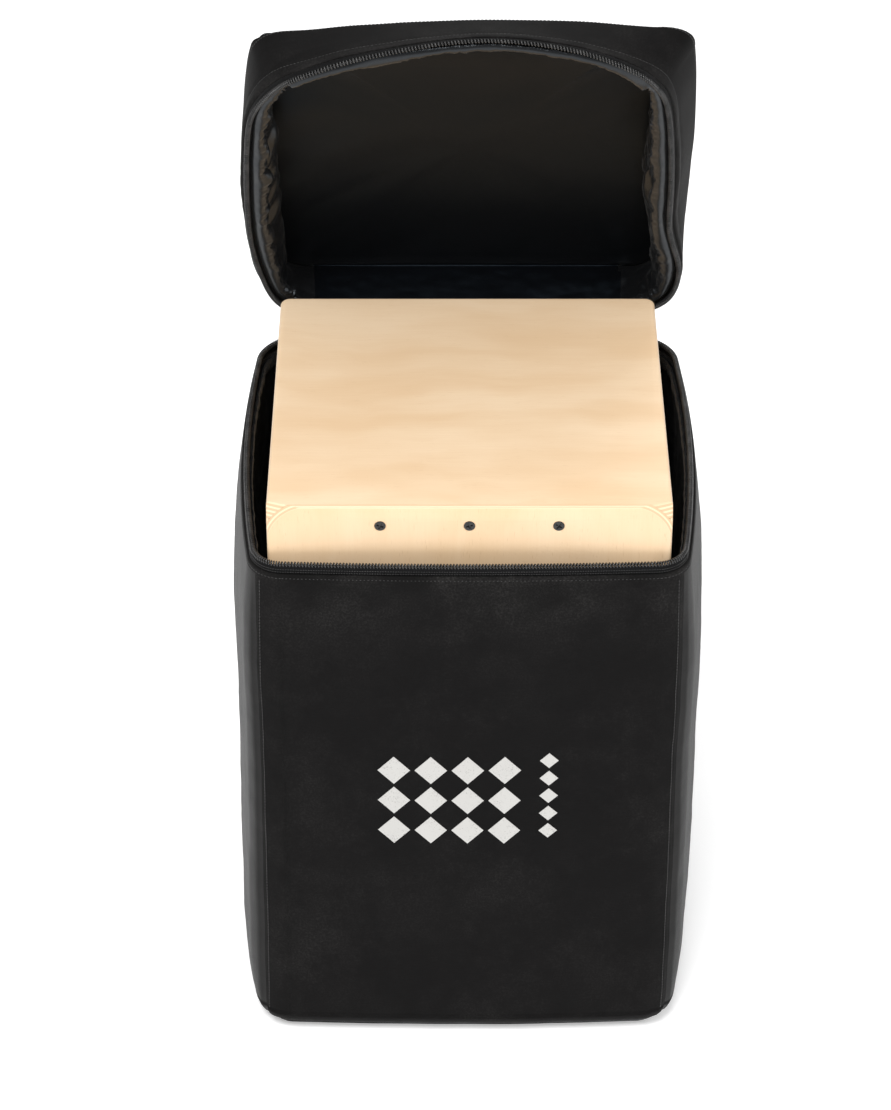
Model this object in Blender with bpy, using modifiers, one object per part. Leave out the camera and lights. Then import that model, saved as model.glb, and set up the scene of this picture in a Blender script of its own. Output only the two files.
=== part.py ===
"""A box drum (cajon) standing in its padded carry bag, with the bag's lid unzipped and thrown open.

The drum is a birch plywood box: seat, bottom, two sides, a back with a sound hole and a thin playing
board (tapa) screwed to four battens, with two sets of snare wires behind it and four rubber feet.
The bag has padded panels, a lining, a coil zip round three sides, a hinged lid and carrying straps.

Metres, +Z up. The origin is the middle of the bag's underside. -Y is the playing side.
"""

import math

import bmesh
import bpy
from mathutils import Matrix, Vector

GAP = 0.0003  # left between pieces that touch

# Drum box
BOX_WIDTH = 0.300
BOX_DEPTH = 0.300
BODY_HEIGHT = 0.487
SEAT_THICKNESS = 0.012
SIDE_THICKNESS = 0.011
BACK_THICKNESS = 0.006
TAPA_THICKNESS = 0.003
EDGE_RADIUS = 0.003
REAR_CORNER_RADIUS = 0.008
FRONT_CORNER_ARC = 0.032  # radius that the playing board's top corners are sanded to
FRONT_CORNER_DEPTH = 0.009  # how far back from the front that sanding reaches
BATTEN_WIDTH = 0.018
BATTEN_DEPTH = 0.022
SOUND_HOLE_RADIUS = 0.0575
SOUND_HOLE_SHARE = 0.61  # hole's centre up the box, as a share of its height

# Playing board screws
TAPA_SCREW_EDGE = 0.017  # centre line in from the board's edge
TAPA_SCREW_SHARE = 0.22  # pitch of the top and bottom rows, as a share of the width
TAPA_SCREW_SIDE_SHARE = 0.31  # pitch of the side rows, as a share of the height
SCREW_HEAD_RADIUS = 0.0043
SCREW_HEAD_DEPTH = 0.0022
SCREW_SHANK_RADIUS = 0.0020
SCREW_LENGTH = 0.019
SCREW_CLEARANCE = 0.0003
RECESS_WIDTH = 0.0011
RECESS_LENGTH = 0.0048
RECESS_DEPTH = 0.0016

# Snares
SNARE_DROP = 0.150  # bar's centre below the seat's top
SNARE_BAR_HEIGHT = 0.020
SNARE_BAR_DEPTH = 0.012
SNARE_SHARE = 0.235  # each set's centre from the middle, as a share of the width
SNARE_WIRES = 8
SNARE_PITCH = 0.007
SNARE_WIRE_RADIUS = 0.0006
SNARE_WIRE_LENGTH = 0.100
SNARE_PLATE_THICKNESS = 0.004
SNARE_CLIP_HEIGHT = 0.006

# Feet
FOOT_RADIUS = 0.0125
FOOT_HEIGHT = 0.010
FOOT_INSET = 0.032
FOOT_RECESS_RADIUS = 0.0055
FOOT_RECESS_DEPTH = 0.005
FOOT_SCREW_HEAD = 0.0040
FOOT_SCREW_HEAD_HEIGHT = 0.0025
FOOT_SCREW_SHANK = 0.0018
FOOT_SCREW_LENGTH = 0.014

# Bag
SIDE_EASE = 0.014  # from the drum's side to the bag's outside, before the bulge
FRONT_EASE = 0.0125
BACK_EASE = 0.019
BAG_FRONT_RADIUS = 0.024
BAG_REAR_RADIUS = 0.042
SIDE_BULGE = 0.012
FRONT_BULGE = 0.004
WALL = 0.005
LINING = 0.0006
BASE_THICKNESS = 0.007
RIM_DROP = 0.0520  # the bag's padded wall ends this far below the seat
SEAM_SHARE = 0.6  # where on a corner's arc the front and side panels are sewn together

# Zip
FOLD_RISE = 0.010  # the lid folds on a line this far above the padded wall
FOLD_OUT = 0.0015  # and this far outside the back panel
ZIP_INSET = 0.0038
COIL_RADIUS = 0.0022
COIL_FROM_FOLD = 0.0026
TAPE_THICKNESS = 0.0008
SLIDER_LENGTH = 0.011
SLIDER_HEIGHT = 0.008
SLIDER_DEPTH = 0.0055
SLIDER_TRAVEL = 0.006
PULL_LENGTH = 0.030
PULL_WIDTH = 0.007
PULL_THICKNESS = 0.0015
BINDING_HEIGHT = 0.012
BINDING_THICKNESS = 0.0015

# Lid
LID_DEPTH = 0.065
LID_OPEN = math.radians(66)  # how far the lid stands open at rest
LID_EDGE_RISE = 0.0075  # its fabric edge above the fold, when shut
FLARE = math.radians(27)  # the open front edge's middle spreads outwards by this
FLARE_CENTRE_SHARE = 0.09  # middle of that spread, as a share of the half width
FLARE_LEFT_SHARE = 0.97
FLARE_RIGHT_SHARE = 0.76

# Straps
STRAP_DROP = 0.070  # from the padded wall's top edge to the straps' upper ends
STRAP_PAD_WIDTH = 0.055
STRAP_PAD_THICKNESS = 0.009
STRAP_PAD_SHARE = 0.40  # height that the padded part ends at, as a share of the wall
STRAP_END = 0.030
WEBBING_WIDTH = 0.025
WEBBING_THICKNESS = 0.0016
BUCKLE_WIDTH = 0.036
BUCKLE_HEIGHT = 0.028
BUCKLE_THICKNESS = 0.005
BUCKLE_SLOT = 0.0055
HANDLE_HALF_SPAN = 0.026
HANDLE_RISE = 0.026
HANDLE_DROP = 0.085
HANDLE_FOOT = 0.012

# Worked out from the sizes above
BOX_Y = (FRONT_EASE - BACK_EASE) / 2
FEET_BOTTOM = BASE_THICKNESS + GAP + LINING + GAP
BODY_BOTTOM = FEET_BOTTOM + FOOT_HEIGHT + GAP
BODY_TOP = BODY_BOTTOM + BODY_HEIGHT
TAPA_FRONT = BOX_Y - BOX_DEPTH / 2
BOX_FRONT = TAPA_FRONT + TAPA_THICKNESS + GAP
BOX_BACK = TAPA_FRONT + BOX_DEPTH
BOX_HALF = BOX_WIDTH / 2
INNER_HALF = BOX_HALF - SIDE_THICKNESS - GAP
INNER_BOTTOM = BODY_BOTTOM + SEAT_THICKNESS + GAP
INNER_TOP = BODY_TOP - SEAT_THICKNESS - GAP
BAG_HALF_WIDTH = BOX_HALF + SIDE_EASE
BAG_FRONT = TAPA_FRONT - FRONT_EASE
BAG_BACK = BOX_BACK + BACK_EASE
PANEL_TOP = BODY_TOP - RIM_DROP
FOLD_HEIGHT = PANEL_TOP + FOLD_RISE
FOLD_Y = BAG_BACK + FOLD_OUT
WALL_BOTTOM = BASE_THICKNESS + GAP
LID_TOP = FOLD_HEIGHT + LID_DEPTH
LID_WALL_TOP = LID_TOP - WALL - GAP
LID_EDGE = FOLD_HEIGHT + LID_EDGE_RISE
BACK_STRAIGHT = BAG_HALF_WIDTH - BAG_REAR_RADIUS  # half length of the plan's straight back edge
ZIP_END = BACK_STRAIGHT - 0.002  # the coil begins here
SLIDER_X = ZIP_END - SLIDER_TRAVEL - SLIDER_LENGTH / 2 - GAP
FOLD_HALF = SLIDER_X - SLIDER_LENGTH / 2 - 0.001
STRAP_TOP = PANEL_TOP - STRAP_DROP

CORNER_STEPS = 5
FRONT_STEPS = 16
SIDE_STEPS = 10
BOX_ROUND_STEPS = 4

# Colours are linear RGB with roughness and metallic values
MATERIALS = {
    "birch": ((0.80, 0.58, 0.36), 0.45, 0.0),
    "batten_wood": ((0.66, 0.47, 0.28), 0.6, 0.0),
    "black_screw": ((0.02, 0.02, 0.02), 0.35, 0.8),
    "snare_steel": ((0.60, 0.60, 0.62), 0.3, 1.0),
    "foot_rubber": ((0.02, 0.02, 0.02), 0.8, 0.0),
    "bag_nylon": ((0.022, 0.022, 0.024), 0.75, 0.0),
    "lining_cloth": ((0.012, 0.012, 0.013), 0.5, 0.0),
    "zip_plastic": ((0.03, 0.03, 0.032), 0.4, 0.0),
    "webbing": ((0.018, 0.018, 0.02), 0.8, 0.0),
    "slider_metal": ((0.05, 0.05, 0.055), 0.35, 0.9),
}


def clear_scene():
    for obj in list(bpy.data.objects):
        bpy.data.objects.remove(obj)


def make_collection(name):
    collection = bpy.data.collections.new(name)
    bpy.context.scene.collection.children.link(collection)
    return collection


def make_material(name, colour, roughness, metallic):
    material = bpy.data.materials.new(name)
    material.use_nodes = True
    shader = material.node_tree.nodes["Principled BSDF"]
    shader.inputs["Base Color"].default_value = (*colour, 1.0)
    shader.inputs["Roughness"].default_value = roughness
    shader.inputs["Metallic"].default_value = metallic
    return material


clear_scene()
PARTS = make_collection("cajon_in_bag")
CUTTERS = make_collection("cutters")
CUTTERS.hide_render = True
FINISHES = {name: make_material(name, *values) for name, values in MATERIALS.items()}


def add(name, data, finish=None, parent=None):
    """A named object in the parts collection, or in the cutters' when it has no finish."""
    obj = bpy.data.objects.new(name, data)
    if finish is None:
        CUTTERS.objects.link(obj)
        obj.hide_render = True
        obj.display_type = "WIRE"
    else:
        PARTS.objects.link(obj)
        data.materials.clear()
        data.materials.append(FINISHES[finish])
    if parent is not None:
        obj.parent = parent
    return obj


def box_mesh(low, high):
    """A box between two corners."""
    mesh = bpy.data.meshes.new("box")
    shape = bmesh.new()
    low, high = Vector(low), Vector(high)
    place = Matrix.Translation((low + high) / 2) @ Matrix.Diagonal((*(high - low), 1.0))
    bmesh.ops.create_cube(shape, size=1.0, matrix=place)
    shape.to_mesh(mesh)
    shape.free()
    return mesh


def outline_curve(points, thickness):
    """A flat outline in its own XY plane, thickened equally both ways along Z."""
    curve = bpy.data.curves.new("outline", "CURVE")
    curve.dimensions = "2D"
    curve.fill_mode = "BOTH"
    curve.extrude = thickness / 2
    spline = curve.splines.new("POLY")
    spline.points.add(len(points) - 1)
    for point, (x, y) in zip(spline.points, points):
        point.co = (x, y, 0.0, 1.0)
    spline.use_cyclic_u = True
    return curve


def tube_curve(points, radius, resolution=2):
    """A round tube with closed ends along the points."""
    curve = bpy.data.curves.new("tube", "CURVE")
    curve.dimensions = "3D"
    curve.bevel_depth = radius
    curve.bevel_resolution = resolution
    curve.use_fill_caps = True
    spline = curve.splines.new("POLY")
    spline.points.add(len(points) - 1)
    for point, place in zip(spline.points, points):
        point.co = (*place, 1.0)
    return curve


def turned_object(name, profile, steps, finish=None):
    """A profile of (radius, height) points, top to bottom, turned about Z."""
    mesh = bpy.data.meshes.new(name)
    edges = [(i, i + 1) for i in range(len(profile) - 1)]
    mesh.from_pydata([(radius, 0.0, height) for radius, height in profile], edges, [])
    obj = add(name, mesh, finish)
    screw = obj.modifiers.new("turn", "SCREW")
    screw.axis = "Z"
    screw.steps = steps
    screw.render_steps = steps
    screw.use_merge_vertices = True
    screw.merge_threshold = 0.00001
    return obj


def boolean(obj, operation, operand):
    """A live Boolean with one object or with a whole collection."""
    modifier = obj.modifiers.new(operation.lower(), "BOOLEAN")
    modifier.operation = operation
    modifier.solver = "EXACT"
    if isinstance(operand, bpy.types.Collection):
        modifier.operand_type = "COLLECTION"
        modifier.collection = operand
    else:
        modifier.object = operand
    return modifier


def finished_mesh(obj, name):
    """The object's shape with its modifiers applied, as a mesh that copies can share."""
    bpy.context.view_layer.update()
    graph = bpy.context.evaluated_depsgraph_get()
    mesh = bpy.data.meshes.new_from_object(obj.evaluated_get(graph))
    shape = bmesh.new()
    shape.from_mesh(mesh)
    bmesh.ops.remove_doubles(shape, verts=shape.verts, dist=0.000005)
    shape.to_mesh(mesh)
    shape.free()
    mesh.name = name
    bpy.data.objects.remove(obj)
    return mesh


def lofted_mesh(rings, closed):
    """Skin over rings of points, each a closed section. It is joined end to start when closed."""
    mesh = bpy.data.meshes.new("loft")
    shape = bmesh.new()
    rows = [[shape.verts.new(point) for point in ring] for ring in rings]
    pairs = list(zip(rows, rows[1:] + rows[:1])) if closed else list(zip(rows, rows[1:]))
    for row, following in pairs:
        for i, vertex in enumerate(row):
            j = (i + 1) % len(row)
            shape.faces.new((vertex, row[j], following[j], following[i]))
    if not closed:
        shape.faces.new(list(reversed(rows[0])))
        shape.faces.new(rows[-1])
    bmesh.ops.recalc_face_normals(shape, faces=shape.faces)
    shape.to_mesh(mesh)
    shape.free()
    return mesh


# ---------------------------------------------------------------- drum


def arc(centre, radius, start, end, steps):
    """Points on an arc, angles in degrees."""
    angles = [math.radians(start + (end - start) * i / steps) for i in range(steps + 1)]
    return [(centre[0] + radius * math.cos(a), centre[1] + radius * math.sin(a)) for a in angles]


def make_corner_cutter(side):
    """What is sanded off one top front corner: a block less a cone that widens towards the back."""
    reach = FRONT_CORNER_ARC + 0.001
    centre = Vector((side * (BOX_HALF - reach), TAPA_FRONT, BODY_TOP - reach))
    widening = (reach * math.sqrt(2) - FRONT_CORNER_ARC) / FRONT_CORNER_DEPTH
    margin = 0.002
    depth = FRONT_CORNER_DEPTH + 2 * margin
    cone_mesh = bpy.data.meshes.new("corner_cone")
    shape = bmesh.new()
    bmesh.ops.create_cone(
        shape,
        cap_ends=True,
        segments=64,
        radius1=FRONT_CORNER_ARC - 2 * margin * widening,
        radius2=FRONT_CORNER_ARC + (depth) * widening,
        depth=depth + 2 * margin,
    )
    shape.to_mesh(cone_mesh)
    shape.free()
    cone = add(f"corner_cone_{side:+d}", cone_mesh)
    cone.rotation_euler = (-math.pi / 2, 0.0, 0.0)
    cone.location = centre + Vector((0.0, (depth - 2 * margin) / 2, 0.0))
    far = centre + Vector((side * (reach + 0.004), 0.0, reach + 0.004))
    low = (min(centre.x, far.x), TAPA_FRONT - margin, centre.z)
    high = (max(centre.x, far.x), TAPA_FRONT + FRONT_CORNER_DEPTH + margin, far.z)
    cutter = add(f"corner_cutter_{side:+d}", box_mesh(low, high))
    boolean(cutter, "DIFFERENCE", cone)
    return cutter


def make_envelope():
    """The drum's outside with all its edges rounded. Every outer panel is cut to it."""
    rear, front = REAR_CORNER_RADIUS, EDGE_RADIUS
    half, back, steps = BOX_HALF, BOX_BACK, BOX_ROUND_STEPS
    points = arc((half - rear, back - rear), rear, 0, 90, steps)
    points += arc((-half + rear, back - rear), rear, 90, 180, steps)
    points += arc((-half + front, TAPA_FRONT + front), front, 180, 270, steps)
    points += arc((half - front, TAPA_FRONT + front), front, 270, 360, steps)
    source = add("envelope_outline", outline_curve(points, BODY_HEIGHT))
    mesh = finished_mesh(source, "envelope")
    envelope = add("envelope", mesh)
    envelope.location.z = (BODY_BOTTOM + BODY_TOP) / 2
    bevel = envelope.modifiers.new("round", "BEVEL")
    bevel.width = EDGE_RADIUS - 0.0001
    bevel.segments = 3
    bevel.limit_method = "ANGLE"
    bevel.angle_limit = math.radians(60)
    for side in (-1, 1):
        boolean(envelope, "DIFFERENCE", make_corner_cutter(side))
    return envelope


def make_outer_panels(envelope):
    """Seat, bottom, sides, back and playing board, each a plain board cut to the envelope."""
    over = 0.002
    half, top, bottom = BOX_HALF + over, BODY_TOP + over, BODY_BOTTOM - over
    back = BOX_BACK + over
    inner = BOX_HALF - SIDE_THICKNESS
    boards = {
        "seat_panel": ((-half, BOX_FRONT, BODY_TOP - SEAT_THICKNESS), (half, back, top)),
        "bottom_panel": ((-half, BOX_FRONT, bottom), (half, back, BODY_BOTTOM + SEAT_THICKNESS)),
        "left_side_panel": ((-half, BOX_FRONT, INNER_BOTTOM), (-inner, back, INNER_TOP)),
        "right_side_panel": ((inner, BOX_FRONT, INNER_BOTTOM), (half, back, INNER_TOP)),
        "back_panel": (
            (-INNER_HALF, BOX_BACK - BACK_THICKNESS, INNER_BOTTOM),
            (INNER_HALF, back, INNER_TOP),
        ),
        "tapa_playing_board": (
            (-half, TAPA_FRONT - over, bottom),
            (half, TAPA_FRONT + TAPA_THICKNESS, top),
        ),
    }
    panels = {}
    for name, (low, high) in boards.items():
        panels[name] = add(name, box_mesh(low, high), "birch")
        boolean(panels[name], "INTERSECT", envelope)
    return panels


def make_battens():
    """Four battens behind the playing board's edges, which its screws bite into."""
    y = (BOX_FRONT, BOX_FRONT + BATTEN_DEPTH)
    low, high = INNER_BOTTOM, INNER_TOP
    rail_low, rail_high = low + BATTEN_WIDTH, high - BATTEN_WIDTH
    boards = {
        "top_batten": ((-INNER_HALF, y[0], rail_high), (INNER_HALF, y[1], high)),
        "bottom_batten": ((-INNER_HALF, y[0], low), (INNER_HALF, y[1], rail_low)),
        "left_batten": (
            (-INNER_HALF, y[0], rail_low + GAP),
            (-INNER_HALF + BATTEN_WIDTH, y[1], rail_high - GAP),
        ),
        "right_batten": (
            (INNER_HALF - BATTEN_WIDTH, y[0], rail_low + GAP),
            (INNER_HALF, y[1], rail_high - GAP),
        ),
    }
    return {name: add(name, box_mesh(*corners), "batten_wood") for name, corners in boards.items()}


def make_sound_hole(back_panel):
    """The round hole through the back panel."""
    mesh = bpy.data.meshes.new("sound_hole")
    shape = bmesh.new()
    bmesh.ops.create_cone(
        shape,
        cap_ends=True,
        segments=48,
        radius1=SOUND_HOLE_RADIUS,
        radius2=SOUND_HOLE_RADIUS,
        depth=BACK_THICKNESS * 4,
    )
    shape.to_mesh(mesh)
    shape.free()
    cutter = add("sound_hole", mesh)
    cutter.rotation_euler.x = math.pi / 2
    cutter.location = (0.0, BOX_BACK, BODY_BOTTOM + BODY_HEIGHT * SOUND_HOLE_SHARE)
    boolean(back_panel, "DIFFERENCE", cutter)


def tapa_screw_places():
    """Names and (x, z) of the twelve playing board screws: a row of three along each edge."""
    left, right = -BOX_HALF + TAPA_SCREW_EDGE, BOX_HALF - TAPA_SCREW_EDGE
    low, high = BODY_BOTTOM + TAPA_SCREW_EDGE, BODY_TOP - TAPA_SCREW_EDGE
    middle = (BODY_BOTTOM + BODY_TOP) / 2
    places = []
    for i in (-1, 0, 1):
        places.append((f"tapa_screw_top_{i + 2}", i * TAPA_SCREW_SHARE * BOX_WIDTH, high))
        places.append((f"tapa_screw_bottom_{i + 2}", i * TAPA_SCREW_SHARE * BOX_WIDTH, low))
        places.append((f"tapa_screw_left_{i + 2}", left, middle + i * TAPA_SCREW_SIDE_SHARE * BODY_HEIGHT))
        places.append((f"tapa_screw_right_{i + 2}", right, middle + i * TAPA_SCREW_SIDE_SHARE * BODY_HEIGHT))
    return places


def screw_profile(extra):
    """A countersunk screw's profile from its flat head down to its point, grown by extra."""
    point = SCREW_SHANK_RADIUS * 1.6
    head, shank = SCREW_HEAD_RADIUS + extra, SCREW_SHANK_RADIUS + extra
    rim = 0.0004
    return [
        (0.0, 0.002 if extra else 0.0),
        (head, 0.002 if extra else 0.0),
        (head, -rim - extra),
        (shank, -SCREW_HEAD_DEPTH - extra),
        (shank, -SCREW_LENGTH + point - extra),
        (0.0, -SCREW_LENGTH - extra),
    ]


def make_tapa_screws(panels, battens):
    """The countersunk cross-head screws, and their holes in the playing board and battens."""
    source = turned_object("screw_blank", screw_profile(0.0), 16)
    for turn in (0, 1):
        half = (RECESS_LENGTH / 2, RECESS_WIDTH / 2)
        x, y = half if turn == 0 else half[::-1]
        slot = add(f"recess_{turn}", box_mesh((-x, -y, -RECESS_DEPTH), (x, y, 0.001)))
        boolean(source, "DIFFERENCE", slot)
    mesh = finished_mesh(source, "tapa_screw")
    hole_mesh = finished_mesh(
        turned_object("hole_blank", screw_profile(SCREW_CLEARANCE), 16), "tapa_screw_hole"
    )
    holes = bpy.data.collections.new("screw_holes")
    CUTTERS.children.link(holes)
    for name, x, z in tapa_screw_places():
        screw = add(name, mesh, "black_screw")
        hole = add(f"hole_{name}", hole_mesh)
        CUTTERS.objects.unlink(hole)
        holes.objects.link(hole)
        for obj in (screw, hole):
            obj.rotation_euler.x = math.pi / 2
            obj.location = (x, TAPA_FRONT + 0.0002, z)
    for board in [panels["tapa_playing_board"], *battens.values()]:
        boolean(board, "DIFFERENCE", holes)


def make_snares():
    """A cross bar with two sets of wires that stand up behind the playing board."""
    centre = BODY_TOP - SNARE_DROP
    half = INNER_HALF - BATTEN_WIDTH - GAP
    wire_y = BOX_FRONT + SNARE_WIRE_RADIUS + GAP
    plate_back = BOX_FRONT + SNARE_PLATE_THICKNESS
    bar_front = plate_back + GAP
    low = (-half, bar_front, centre - SNARE_BAR_HEIGHT / 2)
    high = (half, bar_front + SNARE_BAR_DEPTH, centre + SNARE_BAR_HEIGHT / 2)
    add("snare_bar", box_mesh(low, high), "batten_wood")
    for side, name in ((-1, "left"), (1, "right")):
        middle = side * SNARE_SHARE * BOX_WIDTH
        reach = SNARE_PITCH * SNARE_WIRES / 2
        plate_low = (middle - reach, BOX_FRONT + GAP, centre - SNARE_BAR_HEIGHT / 2)
        plate_high = (middle + reach, plate_back, centre + SNARE_BAR_HEIGHT / 2)
        snare = add(f"snare_wires_{name}", box_mesh(plate_low, plate_high), "snare_steel")
        wires = bpy.data.collections.new(f"wires_{name}")
        CUTTERS.children.link(wires)
        top = centre + SNARE_BAR_HEIGHT / 2 + SNARE_WIRE_LENGTH
        clip_low = (middle - reach, BOX_FRONT + GAP * 1.2, top - SNARE_CLIP_HEIGHT)
        clip_high = (middle + reach, wire_y + SNARE_WIRE_RADIUS * 1.4, top)
        pieces = [add(f"clip_{name}", box_mesh(clip_low, clip_high))]
        for i in range(SNARE_WIRES):
            x = middle + (i - (SNARE_WIRES - 1) / 2) * SNARE_PITCH
            wire_mesh = bpy.data.meshes.new("wire")
            shape = bmesh.new()
            bmesh.ops.create_cone(
                shape,
                cap_ends=True,
                segments=6,
                radius1=SNARE_WIRE_RADIUS,
                radius2=SNARE_WIRE_RADIUS,
                depth=SNARE_WIRE_LENGTH + SNARE_CLIP_HEIGHT / 2,
            )
            shape.to_mesh(wire_mesh)
            shape.free()
            wire = add(f"wire_{name}_{i}", wire_mesh)
            wire.location = (x, wire_y + 0.0001, top - SNARE_WIRE_LENGTH / 2 - SNARE_CLIP_HEIGHT / 2)
            pieces.append(wire)
        for piece in pieces:
            CUTTERS.objects.unlink(piece)
            wires.objects.link(piece)
        boolean(snare, "UNION", wires)


def foot_places():
    """Names and (x, y) of the four feet."""
    x = BOX_HALF - FOOT_INSET
    front, back = BOX_FRONT + FOOT_INSET, BOX_BACK - FOOT_INSET
    return [
        ("front_left", -x, front),
        ("front_right", x, front),
        ("rear_left", -x, back),
        ("rear_right", x, back),
    ]


def make_feet(bottom_panel):
    """Rubber feet, each held by a screw in its recess, with the holes that the screws need."""
    bore = FOOT_SCREW_SHANK + SCREW_CLEARANCE
    floor = FOOT_RECESS_DEPTH
    foot_profile = [
        (bore, FOOT_HEIGHT),
        (FOOT_RADIUS, FOOT_HEIGHT),
        (FOOT_RADIUS * 0.92, 0.0012),
        (FOOT_RADIUS * 0.84, 0.0),
        (FOOT_RECESS_RADIUS, 0.0),
        (FOOT_RECESS_RADIUS, floor),
        (bore, floor),
        (bore, FOOT_HEIGHT),
    ]
    foot_mesh = finished_mesh(turned_object("foot_blank", foot_profile, 20), "foot")
    head_low = floor - GAP - FOOT_SCREW_HEAD_HEIGHT
    tip = head_low + FOOT_SCREW_HEAD_HEIGHT + FOOT_SCREW_LENGTH
    screw_profile_points = [
        (0.0, tip),
        (FOOT_SCREW_SHANK, tip - FOOT_SCREW_SHANK * 1.5),
        (FOOT_SCREW_SHANK, head_low + FOOT_SCREW_HEAD_HEIGHT),
        (FOOT_SCREW_HEAD, head_low + FOOT_SCREW_HEAD_HEIGHT),
        (FOOT_SCREW_HEAD * 0.8, head_low + 0.0005),
        (0.0, head_low),
    ]
    blank = turned_object("foot_screw_blank", screw_profile_points, 12)
    screw_mesh = finished_mesh(blank, "foot_screw")
    holes = bpy.data.collections.new("foot_screw_holes")
    CUTTERS.children.link(holes)
    depth = tip - FOOT_HEIGHT + GAP
    for name, x, y in foot_places():
        foot = add(f"foot_{name}", foot_mesh, "foot_rubber")
        screw = add(f"foot_screw_{name}", screw_mesh, "black_screw")
        for obj in (foot, screw):
            obj.location = (x, y, FEET_BOTTOM)
        hole_mesh = bpy.data.meshes.new("foot_hole")
        shape = bmesh.new()
        bmesh.ops.create_cone(
            shape, cap_ends=True, segments=12, radius1=bore, radius2=bore, depth=2 * depth
        )
        shape.to_mesh(hole_mesh)
        shape.free()
        hole = add(f"foot_hole_{name}", hole_mesh)
        hole.location = (x, y, BODY_BOTTOM)
        CUTTERS.objects.unlink(hole)
        holes.objects.link(hole)
    boolean(bottom_panel, "DIFFERENCE", holes)


def make_drum():
    envelope = make_envelope()
    panels = make_outer_panels(envelope)
    battens = make_battens()
    make_sound_hole(panels["back_panel"])
    make_tapa_screws(panels, battens)
    make_snares()
    make_feet(panels["bottom_panel"])


# ---------------------------------------------------------------- bag


def bulged(x, y):
    """Where soft padding pushes a point of the plain outline out to."""
    along = (y / BAG_BACK - 0.12) / 1.03
    side = SIDE_BULGE * max(0.0, 1 - along * along) * x / BAG_HALF_WIDTH
    across = x / BOX_HALF
    front = FRONT_BULGE * max(0.0, 1 - across * across) * max(0.0, y / BAG_FRONT)
    return (x + side, y - front)


def plan_point(s, inset):
    """A point on the bag's plan, inset from its outside.

    s runs from 0 to 8: front edge, front right corner, right side, rear right corner, back edge,
    rear left corner, left side and front left corner, one unit each.
    """
    half, front, back = BAG_HALF_WIDTH, BAG_FRONT, BAG_BACK
    near, far = BAG_FRONT_RADIUS, BAG_REAR_RADIUS
    part, t = int(s) % 8, s - int(s)
    near_in, far_in = near - inset, far - inset
    if part in (0, 4):
        reach, y = (half - near, front + inset) if part == 0 else (half - far, back - inset)
        x = (2 * t - 1) * reach * (1 if part == 0 else -1)
    elif part in (2, 6):
        y0, y1 = front + near, back - far
        share = t if part == 2 else 1 - t
        x, y = (half - inset) * (1 if part == 2 else -1), y0 + (y1 - y0) * share
    else:
        start = {1: -90, 3: 0, 5: 90, 7: 180}[part]
        radius, inner = (near, near_in) if part in (1, 7) else (far, far_in)
        cx = (half - radius) * (1 if part in (1, 3) else -1)
        cy = front + radius if part in (1, 7) else back - radius
        angle = math.radians(start + 90 * t)
        x, y = cx + inner * math.cos(angle), cy + inner * math.sin(angle)
    return bulged(x, y)


def plan_stations(start=0.0, end=8.0):
    """Values of s from start to end, closer together round the corners."""
    steps = {0: FRONT_STEPS, 1: CORNER_STEPS, 2: SIDE_STEPS, 3: CORNER_STEPS}
    marks = {start, end}
    for part in range(int(start), math.ceil(end)):
        count = steps[part % 4]
        marks |= {part + i / count for i in range(count + 1)}
    kept = sorted(m for m in marks if start <= m <= end)
    return [m for i, m in enumerate(kept) if i == 0 or m - kept[i - 1] > 1e-6]


def s_at_back(x):
    """The place on the back edge at this x."""
    return 4 + (1 - x / BACK_STRAIGHT) / 2


def wall_outline(start, end, outer, inner):
    """The plan of a stretch of wall between two insets."""
    marks = plan_stations(start, end)
    points = [plan_point(s, outer) for s in marks]
    return points + [plan_point(s, inner) for s in reversed(marks)]


def make_wall(name, start, end, finish, outer, inner, low, high):
    """A stretch of upright wall as an extruded plan."""
    curve = outline_curve(wall_outline(start, end, outer, inner), high - low)
    wall = add(name, curve, finish)
    wall.location.z = (low + high) / 2
    return wall


def make_bag_panels():
    """Five padded panels: front, back, two sides that turn the corners, and the base."""
    slip = GAP / 2 / BAG_FRONT_RADIUS  # half a gap as a share of a corner
    front_seam, rear_seam = SEAM_SHARE, 1 - SEAM_SHARE
    panels = {
        "bag_front_panel": (-1 + 1 - front_seam, 1 + front_seam),
        "bag_right_panel": (1 + front_seam, 3 + rear_seam),
        "bag_back_panel": (3 + rear_seam, 5 + 1 - rear_seam),
        "bag_left_panel": (5 + 1 - rear_seam, 7 + 1 - front_seam),
    }
    for name, (start, end) in panels.items():
        shift = 8 if start < 0 else 0
        make_wall(
            name, start + slip + shift, end - slip + shift, "bag_nylon", 0.0, WALL, WALL_BOTTOM, PANEL_TOP
        )
    base = [plan_point(s, 0.0) for s in plan_stations()[:-1]]
    obj = add("bag_base_panel", outline_curve(base, BASE_THICKNESS), "bag_nylon")
    obj.location.z = BASE_THICKNESS / 2


def cup_mesh(place, outer, inner, heights, inner_floor):
    """A thin open cup, its wall's heights given from rim to floor.

    place(s, inset, height) gives the points of the wall all round.
    """
    mesh = bpy.data.meshes.new("cup")
    shape = bmesh.new()
    rows = [(outer, height) for height in heights]
    rows += [(inner, height) for height in [inner_floor, *heights[-2::-1]]]
    floors = (len(heights) - 1, len(heights))
    marks = plan_stations()[:-1]
    loops = [[shape.verts.new(place(s, *row)) for s in marks] for row in rows]
    for k, loop in enumerate(loops):
        following = loops[(k + 1) % len(loops)]
        if k == floors[0]:
            continue
        for i in range(len(loop)):
            j = (i + 1) % len(loop)
            shape.faces.new((loop[i], loop[j], following[j], following[i]))
    for k in floors:
        shape.faces.new(loops[k])
    bmesh.ops.recalc_face_normals(shape, faces=shape.faces)
    shape.to_mesh(mesh)
    shape.free()
    return mesh


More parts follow.
